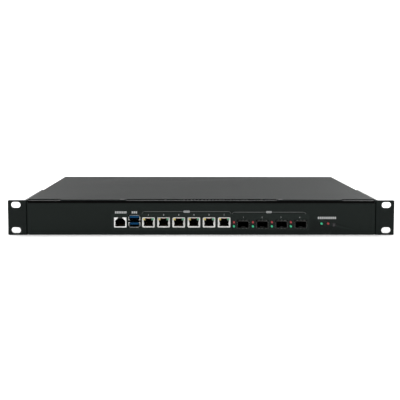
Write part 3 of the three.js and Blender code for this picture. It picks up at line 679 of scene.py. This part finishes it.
def printing():
    lan = [(str(i + 1), centre(f"lan_jack_{i + 1}").x) for i in range(6)]
    # The cage numbers are spaced half a millimetre closer than their cages.
    shifts = [(0.1 - 0.5 * i) * MM for i in range(4)]
    cages = [(str(i + 1), centre(f"sfp_cage_{i + 1}").x + shift) for i, shift in enumerate(shifts)]
    digit = 1.9 * MM
    digits("lan_numbers", lan, 25.4 * MM, digit, BRIGHT_INK)
    digits("cage_numbers", cages, 22.2 * MM, digit, MID_INK)

    bm = bmesh.new()
    lan_pill, cage_pill = span(0, -23.3, -14.0), span(0, 80.1, 88.3)
    bracket(bm, -70.9 * MM, 33.2 * MM, 29.4 * MM, lan_pill, 2.8 * MM)
    bracket(bm, 42.0 * MM, 126.9 * MM, 28.7 * MM, cage_pill, 2.2 * MM)
    finish_piece("port_brackets", bm, INK)

    bm = bmesh.new()
    lozenge(bm, lan_pill, span(0, 27.9, 30.7))
    lozenge(bm, cage_pill, span(0, 27.5, 30.1))
    finish_piece("plain_pills", bm, MID_INK)

    bm = bmesh.new()
    dashes(bm, span(0, -108.0, -93.2), span(0, 27.0, 29.7), 7)
    dashes(bm, span(0, -87.3, -79.9), span(0, 27.0, 29.7), 3)
    dashes(bm, span(0, 145.6, 169.0), span(0, 20.1, 22.9), 9)
    finish_piece("plain_labels", bm, BRIGHT_INK)

    left, right = span(0, -212.4, 212.4)
    bottom, top = span(0, 4.5, 38.6)
    bm = bmesh.new()
    corners = [(left, bottom), (right, bottom), (right, top), (left, top), (left, bottom)]
    ink_path(bm, corners, 0.5 * MM)
    finish_piece("panel_border", bm, FAINT_INK)


# -------- front ports

# Black strips round a network jack's latch notch and under its lights, painted shade that darkens the metal there:
# left, right, bottom and top in millimetres, from the middle of the jack's top edge.
NOTCH_STRIPS = (
    (-6.1, -3.5, -4.4, -3.4), (3.5, 6.1, -4.4, -3.4),
    (-4, -3.5, -4.4, -0.9), (3.5, 4, -4.4, -0.9), (-3.5, 3.5, -1.6, -0.9),
)


def modular_lining(boxes, low, high):
    """Thin black walls inside a jack's way in, set back from its face."""
    skin, y = 0.25 * MM, (FACE_Y + 0.4 * MM, high.y)
    left, right, bottom = low.x - skin, high.x + skin, low.z - skin
    boxes.append(block((low.x, high.x), y, (bottom, low.z)))
    boxes.append(block((left, low.x), y, (bottom, high.z)))
    boxes.append(block((high.x, right), y, (bottom, high.z)))
    boxes.append(block((left, right), (high.y, high.y + 2 * skin), (bottom, high.z + 2.4 * MM)))


def contact_comb(bm, low, high):
    """Eight sprung wires that rise from a jack's floor towards its back."""
    for i in range(8):
        wire = (low.x + high.x) / 2 + (i - 3.5) * 1.02 * MM
        start, end = FACE_Y + 7.5 * MM, high.y - 0.5 * MM
        verts = slab(bm, *block(span(wire, -0.2, 0.2), (start, end), span(low.z, 0, 0.3)))
        back = [v for v in verts if v.co.y > (start + end) / 2]
        bmesh.ops.translate(bm, vec=(0, 0, 3.2 * MM), verts=back)


def modular_jacks():
    dark_sheets, combs, yellow, green, latch, springs, shade = [], bmesh.new(), [], [], [], [], []
    for i in range(6):
        node = f"lan_jack_{i + 1}"
        low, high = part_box(node)
        way_low, way_high = way_in(f"lan_socket_{i + 1}")
        x, top = (low.x + high.x) / 2, high.z
        eased_copy(node, NICKEL, 0.3 * MM, 3, nose=1.1 * MM)
        modular_lining(dark_sheets, way_low, way_high)
        contact_comb(combs, way_low, way_high)
        for side, group in ((-1, yellow), (1, green)):
            lamp = span(x + side * 5.3 * MM, -1.35, 1.35)
            group.append(block(lamp, (low.y - 0.12 * MM, FACE_Y), span(top, -3.6, -1.1)))
            spring = span(x + side * 5.7 * MM, -0.25, 0.25)
            springs.append(block(spring, span(FACE_Y, 0.2, 7), span(way_low.z, 1.7, 4.7)))
        for left, right, bottom, upper in NOTCH_STRIPS:
            shade.append(block(span(x, left, right), (low.y - 0.05 * MM, FACE_Y), span(top, bottom, upper)))
        latch.append(block(span(x, -2, 2), (low.y - 0.1 * MM, FACE_Y + 5 * MM), span(top, -1.5, -1.2)))
    x = centre("console_jack").x
    eased_copy("console_jack", WHITE_METAL, 0.2 * MM)
    console_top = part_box("console_jack")[1].z
    # A black strip across the console jack's top edge: painted shade.
    shade.append(block(span(x, -2.7, 2.7), span(FACE_Y, -0.55, 0), span(console_top, -1.2, 0.02)))
    slabs_piece("notch_shade_strips", shade, BLACK_PLASTIC, 0.02 * MM)
    way_low, way_high = way_in("console_socket")
    modular_lining(dark_sheets, way_low, way_high)
    contact_comb(combs, way_low, way_high)
    slabs_piece("jack_linings", dark_sheets, BLACK_NYLON_AND_SHADE, 0)
    finish_piece("jack_contacts", combs, SHADED_GOLD)
    slabs_piece("jack_lights_yellow", yellow, YELLOW_LENS, 0.2 * MM)
    slabs_piece("jack_lights_green", green, JACK_GREEN_LENS, 0.2 * MM)
    slabs_piece("jack_latch_plates", latch, COPPER, 0.1 * MM)
    slabs_piece("jack_side_springs", springs, NICKEL, 0.1 * MM)


def usb_ports():
    """Blue insulators fill the top of each slot; black sheets darken the shell inside as painted shade, with
    sprung tabs in darkened tin on its floor, and a black band across the face between the slots is painted shade
    too.
    """
    eased_copy("usb_stack", TINNED, 0.3 * MM)
    x = centre("usb_stack").x
    low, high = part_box("usb_stack")
    pads, springs, blocks, dark_sheets = [], [], [], []
    for level in ("upper", "lower"):
        eased_copy(f"usb_tongue_{level}", BLUE_PLASTIC, 0.15 * MM)
        tongue_low, tongue_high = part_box(f"usb_tongue_{level}")
        ceiling, floor, back = tongue_high.z + 0.78 * MM, tongue_low.z - 2.78 * MM, tongue_high.y
        filled = (tongue_high.z - 0.1 * MM, ceiling)
        blocks.append(block((tongue_low.x, tongue_high.x), (FACE_Y + 1.2 * MM, back), filled))
        inside, deep = span(x, -5.6, 5.6), (FACE_Y + 0.3 * MM, back)
        dark_sheets.append(block(inside, deep, span(floor, 0, 0.1)))
        dark_sheets.append(block(inside, (back - 1 * MM, back), (floor, ceiling)))
        for side in (-1, 1):
            wall = sorted((x + side * 6.48 * MM, x + side * 6.3 * MM))
            dark_sheets.append(block(wall, deep, (floor + 1.3 * MM, ceiling - 1.3 * MM)))
            spring = span(x + side * 3.2 * MM, -1.1, 1.1)
            springs.append(block(spring, span(FACE_Y, 3, 9), span(floor, 0.1, 0.4)))
        for i in range(4):
            pad = span(x + (i - 1.5) * 2.4 * MM, -0.6, 0.6)
            pads.append(block(pad, (tongue_low.y + 1 * MM, back - 2 * MM), span(tongue_low.z, -0.06, 0.1)))
    # A black band across the face between the two slots: painted shade.
    split = (centre("usb_tongue_upper").z + centre("usb_tongue_lower").z) / 2 - 1 * MM
    for inset, half in ((-0.02 * MM, 1.1), (0.9 * MM, 1.35)):
        across = (low.x + inset, high.x - inset)
        dark_sheets.append(block(across, (low.y - 0.04 * MM, FACE_Y + 1.6 * MM), span(split, -half, half)))
    slabs_piece("usb_painted_shade", dark_sheets, BLACK_NYLON_AND_SHADE, 0.02 * MM)
    slabs_piece("usb_insulators", blocks, BLUE_PLASTIC, 0.1 * MM)
    slabs_piece("usb_pads", pads, GOLD, 0.03 * MM)
    slabs_piece("usb_springs", springs, SHADED_TIN, 0.08 * MM)


def cages():
    """Each cage, its tin darkened as painted shade, gets a gasket of sprung fingers round its mouth, a latch plate
    in the same darkened tin and a dark far end.
    """
    fingers, plates, ends = bmesh.new(), bmesh.new(), []
    for i in range(4):
        node = f"sfp_cage_{i + 1}"
        low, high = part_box(node)
        way_low, way_high = way_in(f"sfp_socket_{i + 1}")
        x, middle = (low.x + high.x) / 2, (low.z + high.z) / 2
        # The cage body in tin darkened as painted shade.
        eased_copy(node, SHADED_TIN, 0.18 * MM)
        reach = (low.y + 0.25 * MM, FACE_Y - 0.02 * MM)

        def finger(across, level, out):
            verts = slab(fingers, *block(across, reach, level))
            tips = [v for v in verts if v.co.y < sum(reach) / 2]
            bmesh.ops.translate(fingers, vec=-Vector(out) * 0.25 * MM, verts=tips)

        for step in (-4.3, 0, 4.3):
            across = span(x, step - 1, step + 1)
            finger(across, span(high.z, 0, 0.28), (0, 0, 1))
            finger(across, span(low.z, -0.28, 0), (0, 0, -1))
        for step in (-3.4, -0.7, 2.0):
            level = span(middle, step - 0.8, step + 0.8)
            finger(span(low.x, -0.28, 0), level, (-1, 0, 0))
            finger(span(high.x, 0, 0.28), level, (1, 0, 0))
        floor = way_low.z
        verts = slab(plates, *block(span(x, -2.2, 2.2), span(FACE_Y, -0.6, 9), span(floor, 0, 0.35)))
        tip = [v for v in verts if v.co.y < FACE_Y]
        bmesh.ops.translate(plates, vec=(0, 0, 0.9 * MM), verts=tip)
        rod(plates, "z", (x, FACE_Y + 3 * MM, floor + 0.4 * MM), 0.9 * MM, 0.7 * MM, 3)
        ends.append(block((way_low.x, way_high.x), span(high.y, -3, -1.2), (floor, way_high.z)))
        ends.append(block(span(x, -5, 5), span(high.y, -9, -2), span(middle, -1.5, -0.3)))
    finish_piece("cage_gasket_fingers", fingers, TINNED)
    finish_piece("cage_latch_plates", plates, SHADED_TIN)
    slabs_piece("cage_connectors", ends, BLACK_PLASTIC, 0.2 * MM)


def domed_light(bm, x, z, radius=1.25 * MM):
    """A round lens with a domed end that stands just out of the panel."""
    rise, steps = 0.5 * MM, 5
    turns = [math.pi / 2 * i / steps for i in range(steps + 1)]
    dome = [(radius * math.sin(a), -rise * math.cos(a)) for a in turns]
    lathe(bm, "y", (x, FACE_Y, z), dome + [(radius, 4.2 * MM), (0, 4.2 * MM)])


def lights():
    red, green, holders = bmesh.new(), bmesh.new(), []
    links = [f"link_leds_{i + 1}" for i in range(4)]
    upper, lower = 2.65 * MM, 7.85 * MM
    rows = [(node, ((red, upper), (green, lower))) for node in links]
    rows += [("power_led", ((green, upper),)), ("disk_led", ((red, upper),))]
    for node, lamps in rows:
        low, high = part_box(node)
        for bm, drop in lamps:
            domed_light(bm, (low.x + high.x) / 2, high.z - drop)
        holders.append(block((low.x, high.x), (FACE_Y + 4.3 * MM, high.y), (low.z, high.z)))
    finish_piece("lights_red", red, RED_LENS, smooth=50)
    finish_piece("lights_green", green, GREEN_LENS, smooth=50)
    piece = slabs_piece("light_holders", holders, BLACK_PLASTIC, 0.2 * MM)
    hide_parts("power_led", "disk_led", *links)


def reset():
    low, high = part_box("reset_button")
    middle = (low + high) / 2
    bm = bmesh.new()
    rod(bm, "y", (middle.x, (low.y + high.y) / 2, middle.z), 1.85 * MM, high.y - low.y, 32)
    rod(bm, "y", (middle.x, FACE_Y + 4.5 * MM, middle.z), 2.95 * MM, 1 * MM, 32)
    ease_edges(bm, 0.3 * MM, 3)
    piece = finish_piece("reset_button_detail", bm, GLOSS_PLASTIC, "reset_key", 50)
    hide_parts("reset_button")
    bm = bmesh.new()
    ring(bm, "y", (middle.x, FACE_Y - 0.02 * MM, middle.z), 2.5 * MM, 2.2 * MM, 0.14 * MM, 40)
    finish_piece("reset_ring", bm, BLACK_SCREW, smooth=50)
    dress("reset_switch", BLACK_PLASTIC)


# -------- rear wall

def blade(bm, hub, tip, chord):
    """One cambered, twisted blade that reaches out along +X, with the fan's axis along Z."""
    count, steps = 6, 5
    verts = []
    for i in range(count + 1):
        share = i / count - 0.5
        verts.append(bm.verts.new((hub * 0.9, share * chord * 0.75 + 0.1 * chord * (1 - 4 * share * share),
                                   share * chord * 0.62)))
    edges = [bm.edges.new(pair) for pair in zip(verts, verts[1:])]
    made = set(verts)
    for _ in range(steps):
        geom = bmesh.ops.extrude_edge_only(bm, edges=edges)["geom"]
        verts, edges = verts_of(geom), edges_of(geom)
        bmesh.ops.translate(bm, vec=((tip - hub * 0.9) / steps, 0, 0), verts=verts)
        bmesh.ops.rotate(bm, cent=(0, 0, 0), matrix=Matrix.Rotation(math.radians(-4), 3, "X"), verts=verts)
        made.update(verts)
    faces = faces_at(made)
    bmesh.ops.recalc_face_normals(bm, faces=faces)
    bmesh.ops.solidify(bm, geom=faces, thickness=0.7 * MM)


def fan_rotor(node, body):
    low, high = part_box(node)
    middle = (low + high) / 2
    tip = (high.z - low.z) / 2 - 0.4 * MM
    hub, length, blades = tip * 0.58, high.y - low.y, 7
    bm = bmesh.new()
    blade(bm, hub, tip, length * 0.62)
    whole = bm.verts[:] + bm.edges[:] + bm.faces[:]
    bmesh.ops.spin(bm, geom=whole, axis=(0, 0, 1), cent=(0, 0, 0), angle=math.tau * (blades - 1) / blades,
                   steps=blades - 1, use_duplicate=True)
    cup = bmesh.new()
    rod(cup, "z", (0, 0, 0), hub, length, 48)
    ease_edges(cup, 1.2 * MM, 4)
    join_in(bm, cup)
    bmesh.ops.transform(bm, matrix=Matrix.Translation(middle) @ TURN["y"], verts=bm.verts[:])
    piece = finish_piece(f"{node}_detail", bm, BLACK_PLASTIC, body, 40)
    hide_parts(node)
    bm = bmesh.new()
    rod(bm, "y", (middle.x, high.y + 0.02 * MM, middle.z), hub * 0.55, 0.12 * MM, 32)
    finish_piece(f"{node}_badge", bm, GREY_PLASTIC, body, 40)


def fans():
    for node, body in (("fan_rotor_1", "system_fan_1"), ("fan_rotor_2", "system_fan_2"),
                       ("supply_fan_rotor", "supply_fan")):
        fan_rotor(node, body)
    for node in ("fan_frame_1", "fan_frame_2", "supply_fan_frame"):
        eased_copy(node, BLACK_PLASTIC, 0.3 * MM)
    bm = bmesh.new()
    for node in ("fan_frame_1", "fan_frame_2"):
        middle = centre(node)
        for sx in (-1, 1):
            for sz in (-1, 1):
                point = (middle.x + sx * 16 * MM, REAR_Y + 1.3 * MM, middle.z + sz * 16 * MM)
                cross_recess_head(bm, facing(point, (0, 1, 0)), 2.6 * MM, 1.28 * MM, 0.4 * MM)
    finish_piece("fan_screws", bm, BLACK_SCREW, smooth=40)


def mains_inlet():
    eased_copy("power_inlet", BLACK_PLASTIC, 0.35 * MM)
    middle = centre("power_inlet")
    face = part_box("power_inlet")[1].y
    pins = []
    for x, z in ((-7, -1.5), (7, -1.5), (0, 2.8)):
        level = span(middle.z, z - 2.6, z + 2.0)
        pins.append(block(span(middle.x, x - 1, x + 1), span(face, -17.2, -2.5), level))
    slabs_piece("inlet_pins", pins, BRIGHT_STEEL, 0.5 * MM)
    eased_copy("rocker_bezel", BLACK_PLASTIC, 0.3 * MM)


def rocker():
    eased_copy("power_rocker", GLOSS_PLASTIC, 0.35 * MM, 3, body="rocker")
    joint = next(j for j in frame["joints"] if j["name"] == "rocker_tilt")
    pin = Vector(joint["pos_m"])
    rest = Matrix.Translation(pin) @ Matrix.Rotation(math.radians(-7), 4, "Z")
    slope = math.atan2(1.0, 8.9)
    bm = bmesh.new()
    line = slab(bm, *block(span(0, -0.35, 0.35), span(0, -0.05, 0.05), span(0, -2, 2)))
    right = Matrix.Translation((4.6 * MM, 4.72 * MM, 0)) @ Matrix.Rotation(slope, 4, "Z")
    bmesh.ops.transform(bm, matrix=rest @ right, verts=line)
    circle = ring(bm, "y", (0, 0, 0), 2.0 * MM, 1.35 * MM, 0.1 * MM, 32)
    left = Matrix.Translation((-4.6 * MM, 4.72 * MM, 0)) @ Matrix.Rotation(-slope, 4, "Z")
    bmesh.ops.transform(bm, matrix=rest @ left, verts=circle)
    finish_piece("rocker_marks", bm, BRIGHT_INK, "rocker", 50)


def earth_stud():
    low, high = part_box("earth_stud")
    x, z = (low.x + high.x) / 2, (low.z + high.z) / 2
    bm = bmesh.new()
    rod(bm, "y", (x, (low.y + high.y) / 2, z), 1.7 * MM, high.y - low.y, 24)
    turns = 8
    for i in range(turns):
        y = REAR_Y + (3.6 + 0.62 * i) * MM
        rod(bm, "y", (x, y - 0.15 * MM, z), 1.7 * MM, 0.3 * MM, 24, 2.0 * MM)
        rod(bm, "y", (x, y + 0.15 * MM, z), 2.0 * MM, 0.3 * MM, 24, 1.7 * MM)
    nut = bmesh.new()
    rod(nut, "y", (x, REAR_Y + 1.9 * MM, z), 3.9 * MM, 2.5 * MM, 6)
    rod(nut, "y", (x, REAR_Y - 2.6 * MM, z), 3.9 * MM, 2.6 * MM, 6)
    ease_edges(nut, 0.3 * MM, 3)
    join_in(bm, nut)
    ring(bm, "y", (x, REAR_Y + 0.4 * MM, z), 4.5 * MM, 2.0 * MM, 0.6 * MM, 36)
    piece = finish_piece("earth_stud_detail", bm, BRIGHT_STEEL, smooth=40)
    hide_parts("earth_stud")
    bm = bmesh.new()
    x += 8 * MM
    ink = (REAR_Y, REAR_Y + INK_THICK)
    for half, drop in ((2.4, 0), (1.6, -0.9), (0.8, -1.8)):
        slab(bm, *block(span(x, -half, half), ink, span(z + drop * MM, -0.2, 0.2)))
    slab(bm, *block(span(x, -0.2, 0.2), ink, span(z, 0, 2.6)))
    finish_piece("earth_mark", bm, BRIGHT_INK)


def slot_cover():
    eased_copy("slot_cover", GALVANISED, 0.2 * MM)
    middle, face = centre("slot_cover"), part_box("slot_cover")[1].y
    bm = bmesh.new()
    for i in range(-4, 5):
        ring(bm, "y", (middle.x + i * 10 * MM, face + 0.1 * MM, middle.z), 2.6 * MM, 1.9 * MM, 0.5 * MM, 28)
    finish_piece("slot_cover_dimples", bm, GALVANISED, smooth=50)


# -------- inside

def chips():
    """Packages on the board: network chips behind the jacks, a switch chip behind the cages."""
    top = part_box("motherboard")[1].z
    boxes, marks = [], []
    for i in range(6):
        x = centre(f"lan_jack_{i + 1}").x
        boxes.append(block(span(x, -6, 6), span(FACE_Y, 26, 34), span(top, 0, 4.5)))
        if i % 2 == 0:
            middle = x + 9.4 * MM
            boxes.append(block(span(middle, -7, 7), span(FACE_Y, 44, 58), span(top, 0, 1.2)))
            marks.append((middle - 5.2 * MM, FACE_Y + 45.8 * MM, top + 1.2 * MM))
    for x, y, side, high in ((88, 68, 24, 2.2), (-110, 60, 17, 1.5), (-95, 110, 12, 1.2), (150, 60, 10, 1.0),
                             (120, 110, 28, 2.0), (-40, 160, 9, 1.0), (160, 150, 8, 1.0)):
        x, y, half = x * MM, FACE_Y + y * MM, side / 2
        boxes.append(block(span(x, -half, half), span(y, -half, half), span(top, 0, high)))
        marks.append((x - (half - 2) * MM, y - (half - 2) * MM, top + high * MM))
    slabs_piece("board_chips", boxes, CHIP_PLASTIC, 0.15 * MM)
    bm = bmesh.new()
    for mark in marks:
        rod(bm, "z", Vector(mark) + Vector((0, 0, 0.02 * MM)), 0.6 * MM, 0.06 * MM, 16)
    finish_piece("chip_dots", bm, INK)


def power_stage():
    """Round capacitors and grey chokes beside the heatsink."""
    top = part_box("motherboard")[1].z
    sink_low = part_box("heatsink")[0]
    cans, sleeves, chokes = bmesh.new(), bmesh.new(), []

    def can(x, y, radius, tall):
        rod(cans, "z", (x, y, top + tall / 2 * MM), radius * MM, tall * MM, 24)
        rod(sleeves, "z", (x, y, top + 0.7 * MM), (radius + 0.4) * MM, 1.4 * MM, 24)

    for i in range(7):
        x, y = sink_low.x - 9 * MM, sink_low.y + (6 + 12 * i) * MM
        can(x, y, 3.1, 9)
        chokes.append(block(span(x, -16, -6.5), span(y, -4.5, 4.5), span(top, 0, 6)))
    for x, y in ((-120, 150), (-108, 150), (150, 30), (162, 30), (172, 120), (172, 132)):
        can(x * MM, FACE_Y + y * MM, 4.1, 11)
    ease_edges(cans, 0.4 * MM, 3)
    finish_piece("capacitor_cans", cans, ALUMINIUM, smooth=30)
    finish_piece("capacitor_feet", sleeves, BLACK_PLASTIC, smooth=30)
    slabs_piece("chokes", chokes, GREY_PLASTIC, 0.5 * MM)


def small_parts():
    """Resistors and capacitors scattered over the free board."""
    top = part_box("motherboard")[1].z
    draw = random.Random(4)
    pale, dark = [], []
    for _ in range(260):
        x = draw.uniform(-143, 183) * MM
        y = FACE_Y + draw.uniform(38, 188) * MM
        long, wide = draw.choice(((1.6, 0.8), (1.0, 0.5), (2.0, 1.25)))
        if draw.random() < 0.5:
            long, wide = wide, long
        high = draw.uniform(0.4, 0.9)
        box = ((x, y, top), (x + long * MM, y + wide * MM, top + high * MM))
        (pale if draw.random() < 0.6 else dark).append(box)
    slabs_piece("small_capacitors", pale, PALE_CERAMIC, 0)
    slabs_piece("small_resistors", dark, CHIP_PLASTIC, 0)


def headers():
    """Drive sockets and pin headers along the board's right and rear edges."""
    low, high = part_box("motherboard")
    top = high.z
    bodies, pins = [], []
    for i in range(3):
        x = high.x - (30 + 22 * i) * MM
        bodies.append(block(span(x, -8.5, 8.5), span(high.y, -8, -2), span(top, 0, 8.5)))
    for x in (high.x - 12 * MM, low.x + 60 * MM):
        y = low.y + 70 * MM
        bodies.append(block(span(x, -3, 3), span(y, 0, 26), span(top, 0, 2.5)))
        for row in range(10):
            for column in (-1.27, 1.27):
                along = span(y + (1.6 + 2.54 * row) * MM, -0.32, 0.32)
                pins.append(block(span(x + column * MM, -0.32, 0.32), along, span(top, 0, 8.5)))
    slabs_piece("header_bodies", bodies, BLACK_PLASTIC, 0.3 * MM)
    slabs_piece("header_pins", pins, GOLD, 0)


def memory():
    eased_copy("memory_socket", BLACK_PLASTIC, 0.3 * MM)
    dress("memory_module", BOARD_GREEN)
    low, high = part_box("memory_module")
    boxes = []
    for i in range(8):
        x = low.x + (12 + 15.4 * i) * MM
        for side, y in ((-1, low.y), (1, high.y)):
            boxes.append(block(span(x, -5, 5), sorted((y, y + side * 1.1 * MM)), span(low.z, 13, 24)))
    slabs_piece("memory_chips", boxes, CHIP_PLASTIC, 0.15 * MM)
    low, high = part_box("memory_socket")
    along, level = (low.y + 1 * MM, high.y - 1 * MM), span(high.z, 0, 14)
    latches = [block(across, along, level) for across in (span(low.x, 0, 3), span(high.x, -3, 0))]
    slabs_piece("memory_latches", latches, WHITE_PLASTIC, 0.5 * MM)


def cooling():
    eased_copy("heatsink", ALUMINIUM, 0.12 * MM)
    dress("processor", CHIP_LID)
    low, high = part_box("heatsink")
    bm = bmesh.new()
    for x in (low.x + 4.5 * MM, high.x - 4.5 * MM):
        for y in (low.y - 3.5 * MM, high.y + 3.5 * MM):
            rod(bm, "z", (x, y, low.z + 1 * MM), 1.4 * MM, 9 * MM, 16)
            cross_recess_head(bm, facing((x, y, low.z + 8 * MM), (0, 0, 1)), 2.8 * MM, 2 * MM, 0.5 * MM)
    finish_piece("heatsink_screws", bm, BRIGHT_STEEL, smooth=40)


def paper_label(name, node, side, front, rear):
    """A blank label on a node's top, with its margins in millimetres."""
    low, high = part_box(node)
    across, along = (low.x + side * MM, high.x - side * MM), (low.y + front * MM, high.y - rear * MM)
    slabs_piece(name, [block(across, along, span(high.z, 0, 0.06))], LABEL_PAPER, 0)


def drive():
    eased_copy("drive_bracket", GALVANISED, 0.2 * MM)
    eased_copy("storage_drive", ALUMINIUM, 0.6 * MM, 3)
    paper_label("drive_label", "storage_drive", 6, 12, 10)


def supply():
    eased_copy("power_supply", GALVANISED, 0.25 * MM)
    paper_label("supply_label", "power_supply", 10, 20, 45)
    low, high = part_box("power_supply")
    bm = bmesh.new()
    for x in (low.x + 5 * MM, high.x - 5 * MM):
        for y in (low.y + 6 * MM, high.y - 30 * MM):
            cross_recess_head(bm, facing((x, y, high.z + 0.5 * MM), (0, 0, 1)), 2.3 * MM, 0.6 * MM, 0.2 * MM)
    finish_piece("supply_lid_screws", bm, BRIGHT_STEEL, smooth=40)
    eased_copy("power_lead", SLEEVE, 0.5 * MM, smooth=50)


def inside():
    dress("motherboard", BOARD_GREEN)
    chips()
    power_stage()
    small_parts()
    headers()
    memory()
    cooling()
    drive()
    supply()
    eased_copy("coin_cell", BRIGHT_STEEL, 0.5 * MM, 3)


chassis()
screws()
printing()
modular_jacks()
usb_ports()
cages()
lights()
reset()
fans()
mains_inlet()
rocker()
earth_stud()
slot_cover()
inside()


# -------- stage

def make_stage():
    """A pale floor that curves up into a backdrop."""
    front, back, bend, top, half_width, steps = -4.0, 3.0, 1.5, 6.0, 6, 12
    turns = [math.pi / 2 * i / steps for i in range(1, steps + 1)]
    curve = [(back + bend * math.sin(angle), bend * (1 - math.cos(angle))) for angle in turns]
    profile = [(front, 0.0), (back, 0.0)] + curve + [(back + bend, top)]
    bm = bmesh.new()
    verts = [bm.verts.new((-half_width, y, z)) for y, z in profile]
    edges = [bm.edges.new(pair) for pair in zip(verts, verts[1:])]
    moved = bmesh.ops.extrude_edge_only(bm, edges=edges)["geom"]
    bmesh.ops.translate(bm, vec=(2 * half_width, 0, 0), verts=verts_of(moved))
    floor = smooth_object("floor", bm, pale_floor())


make_stage()
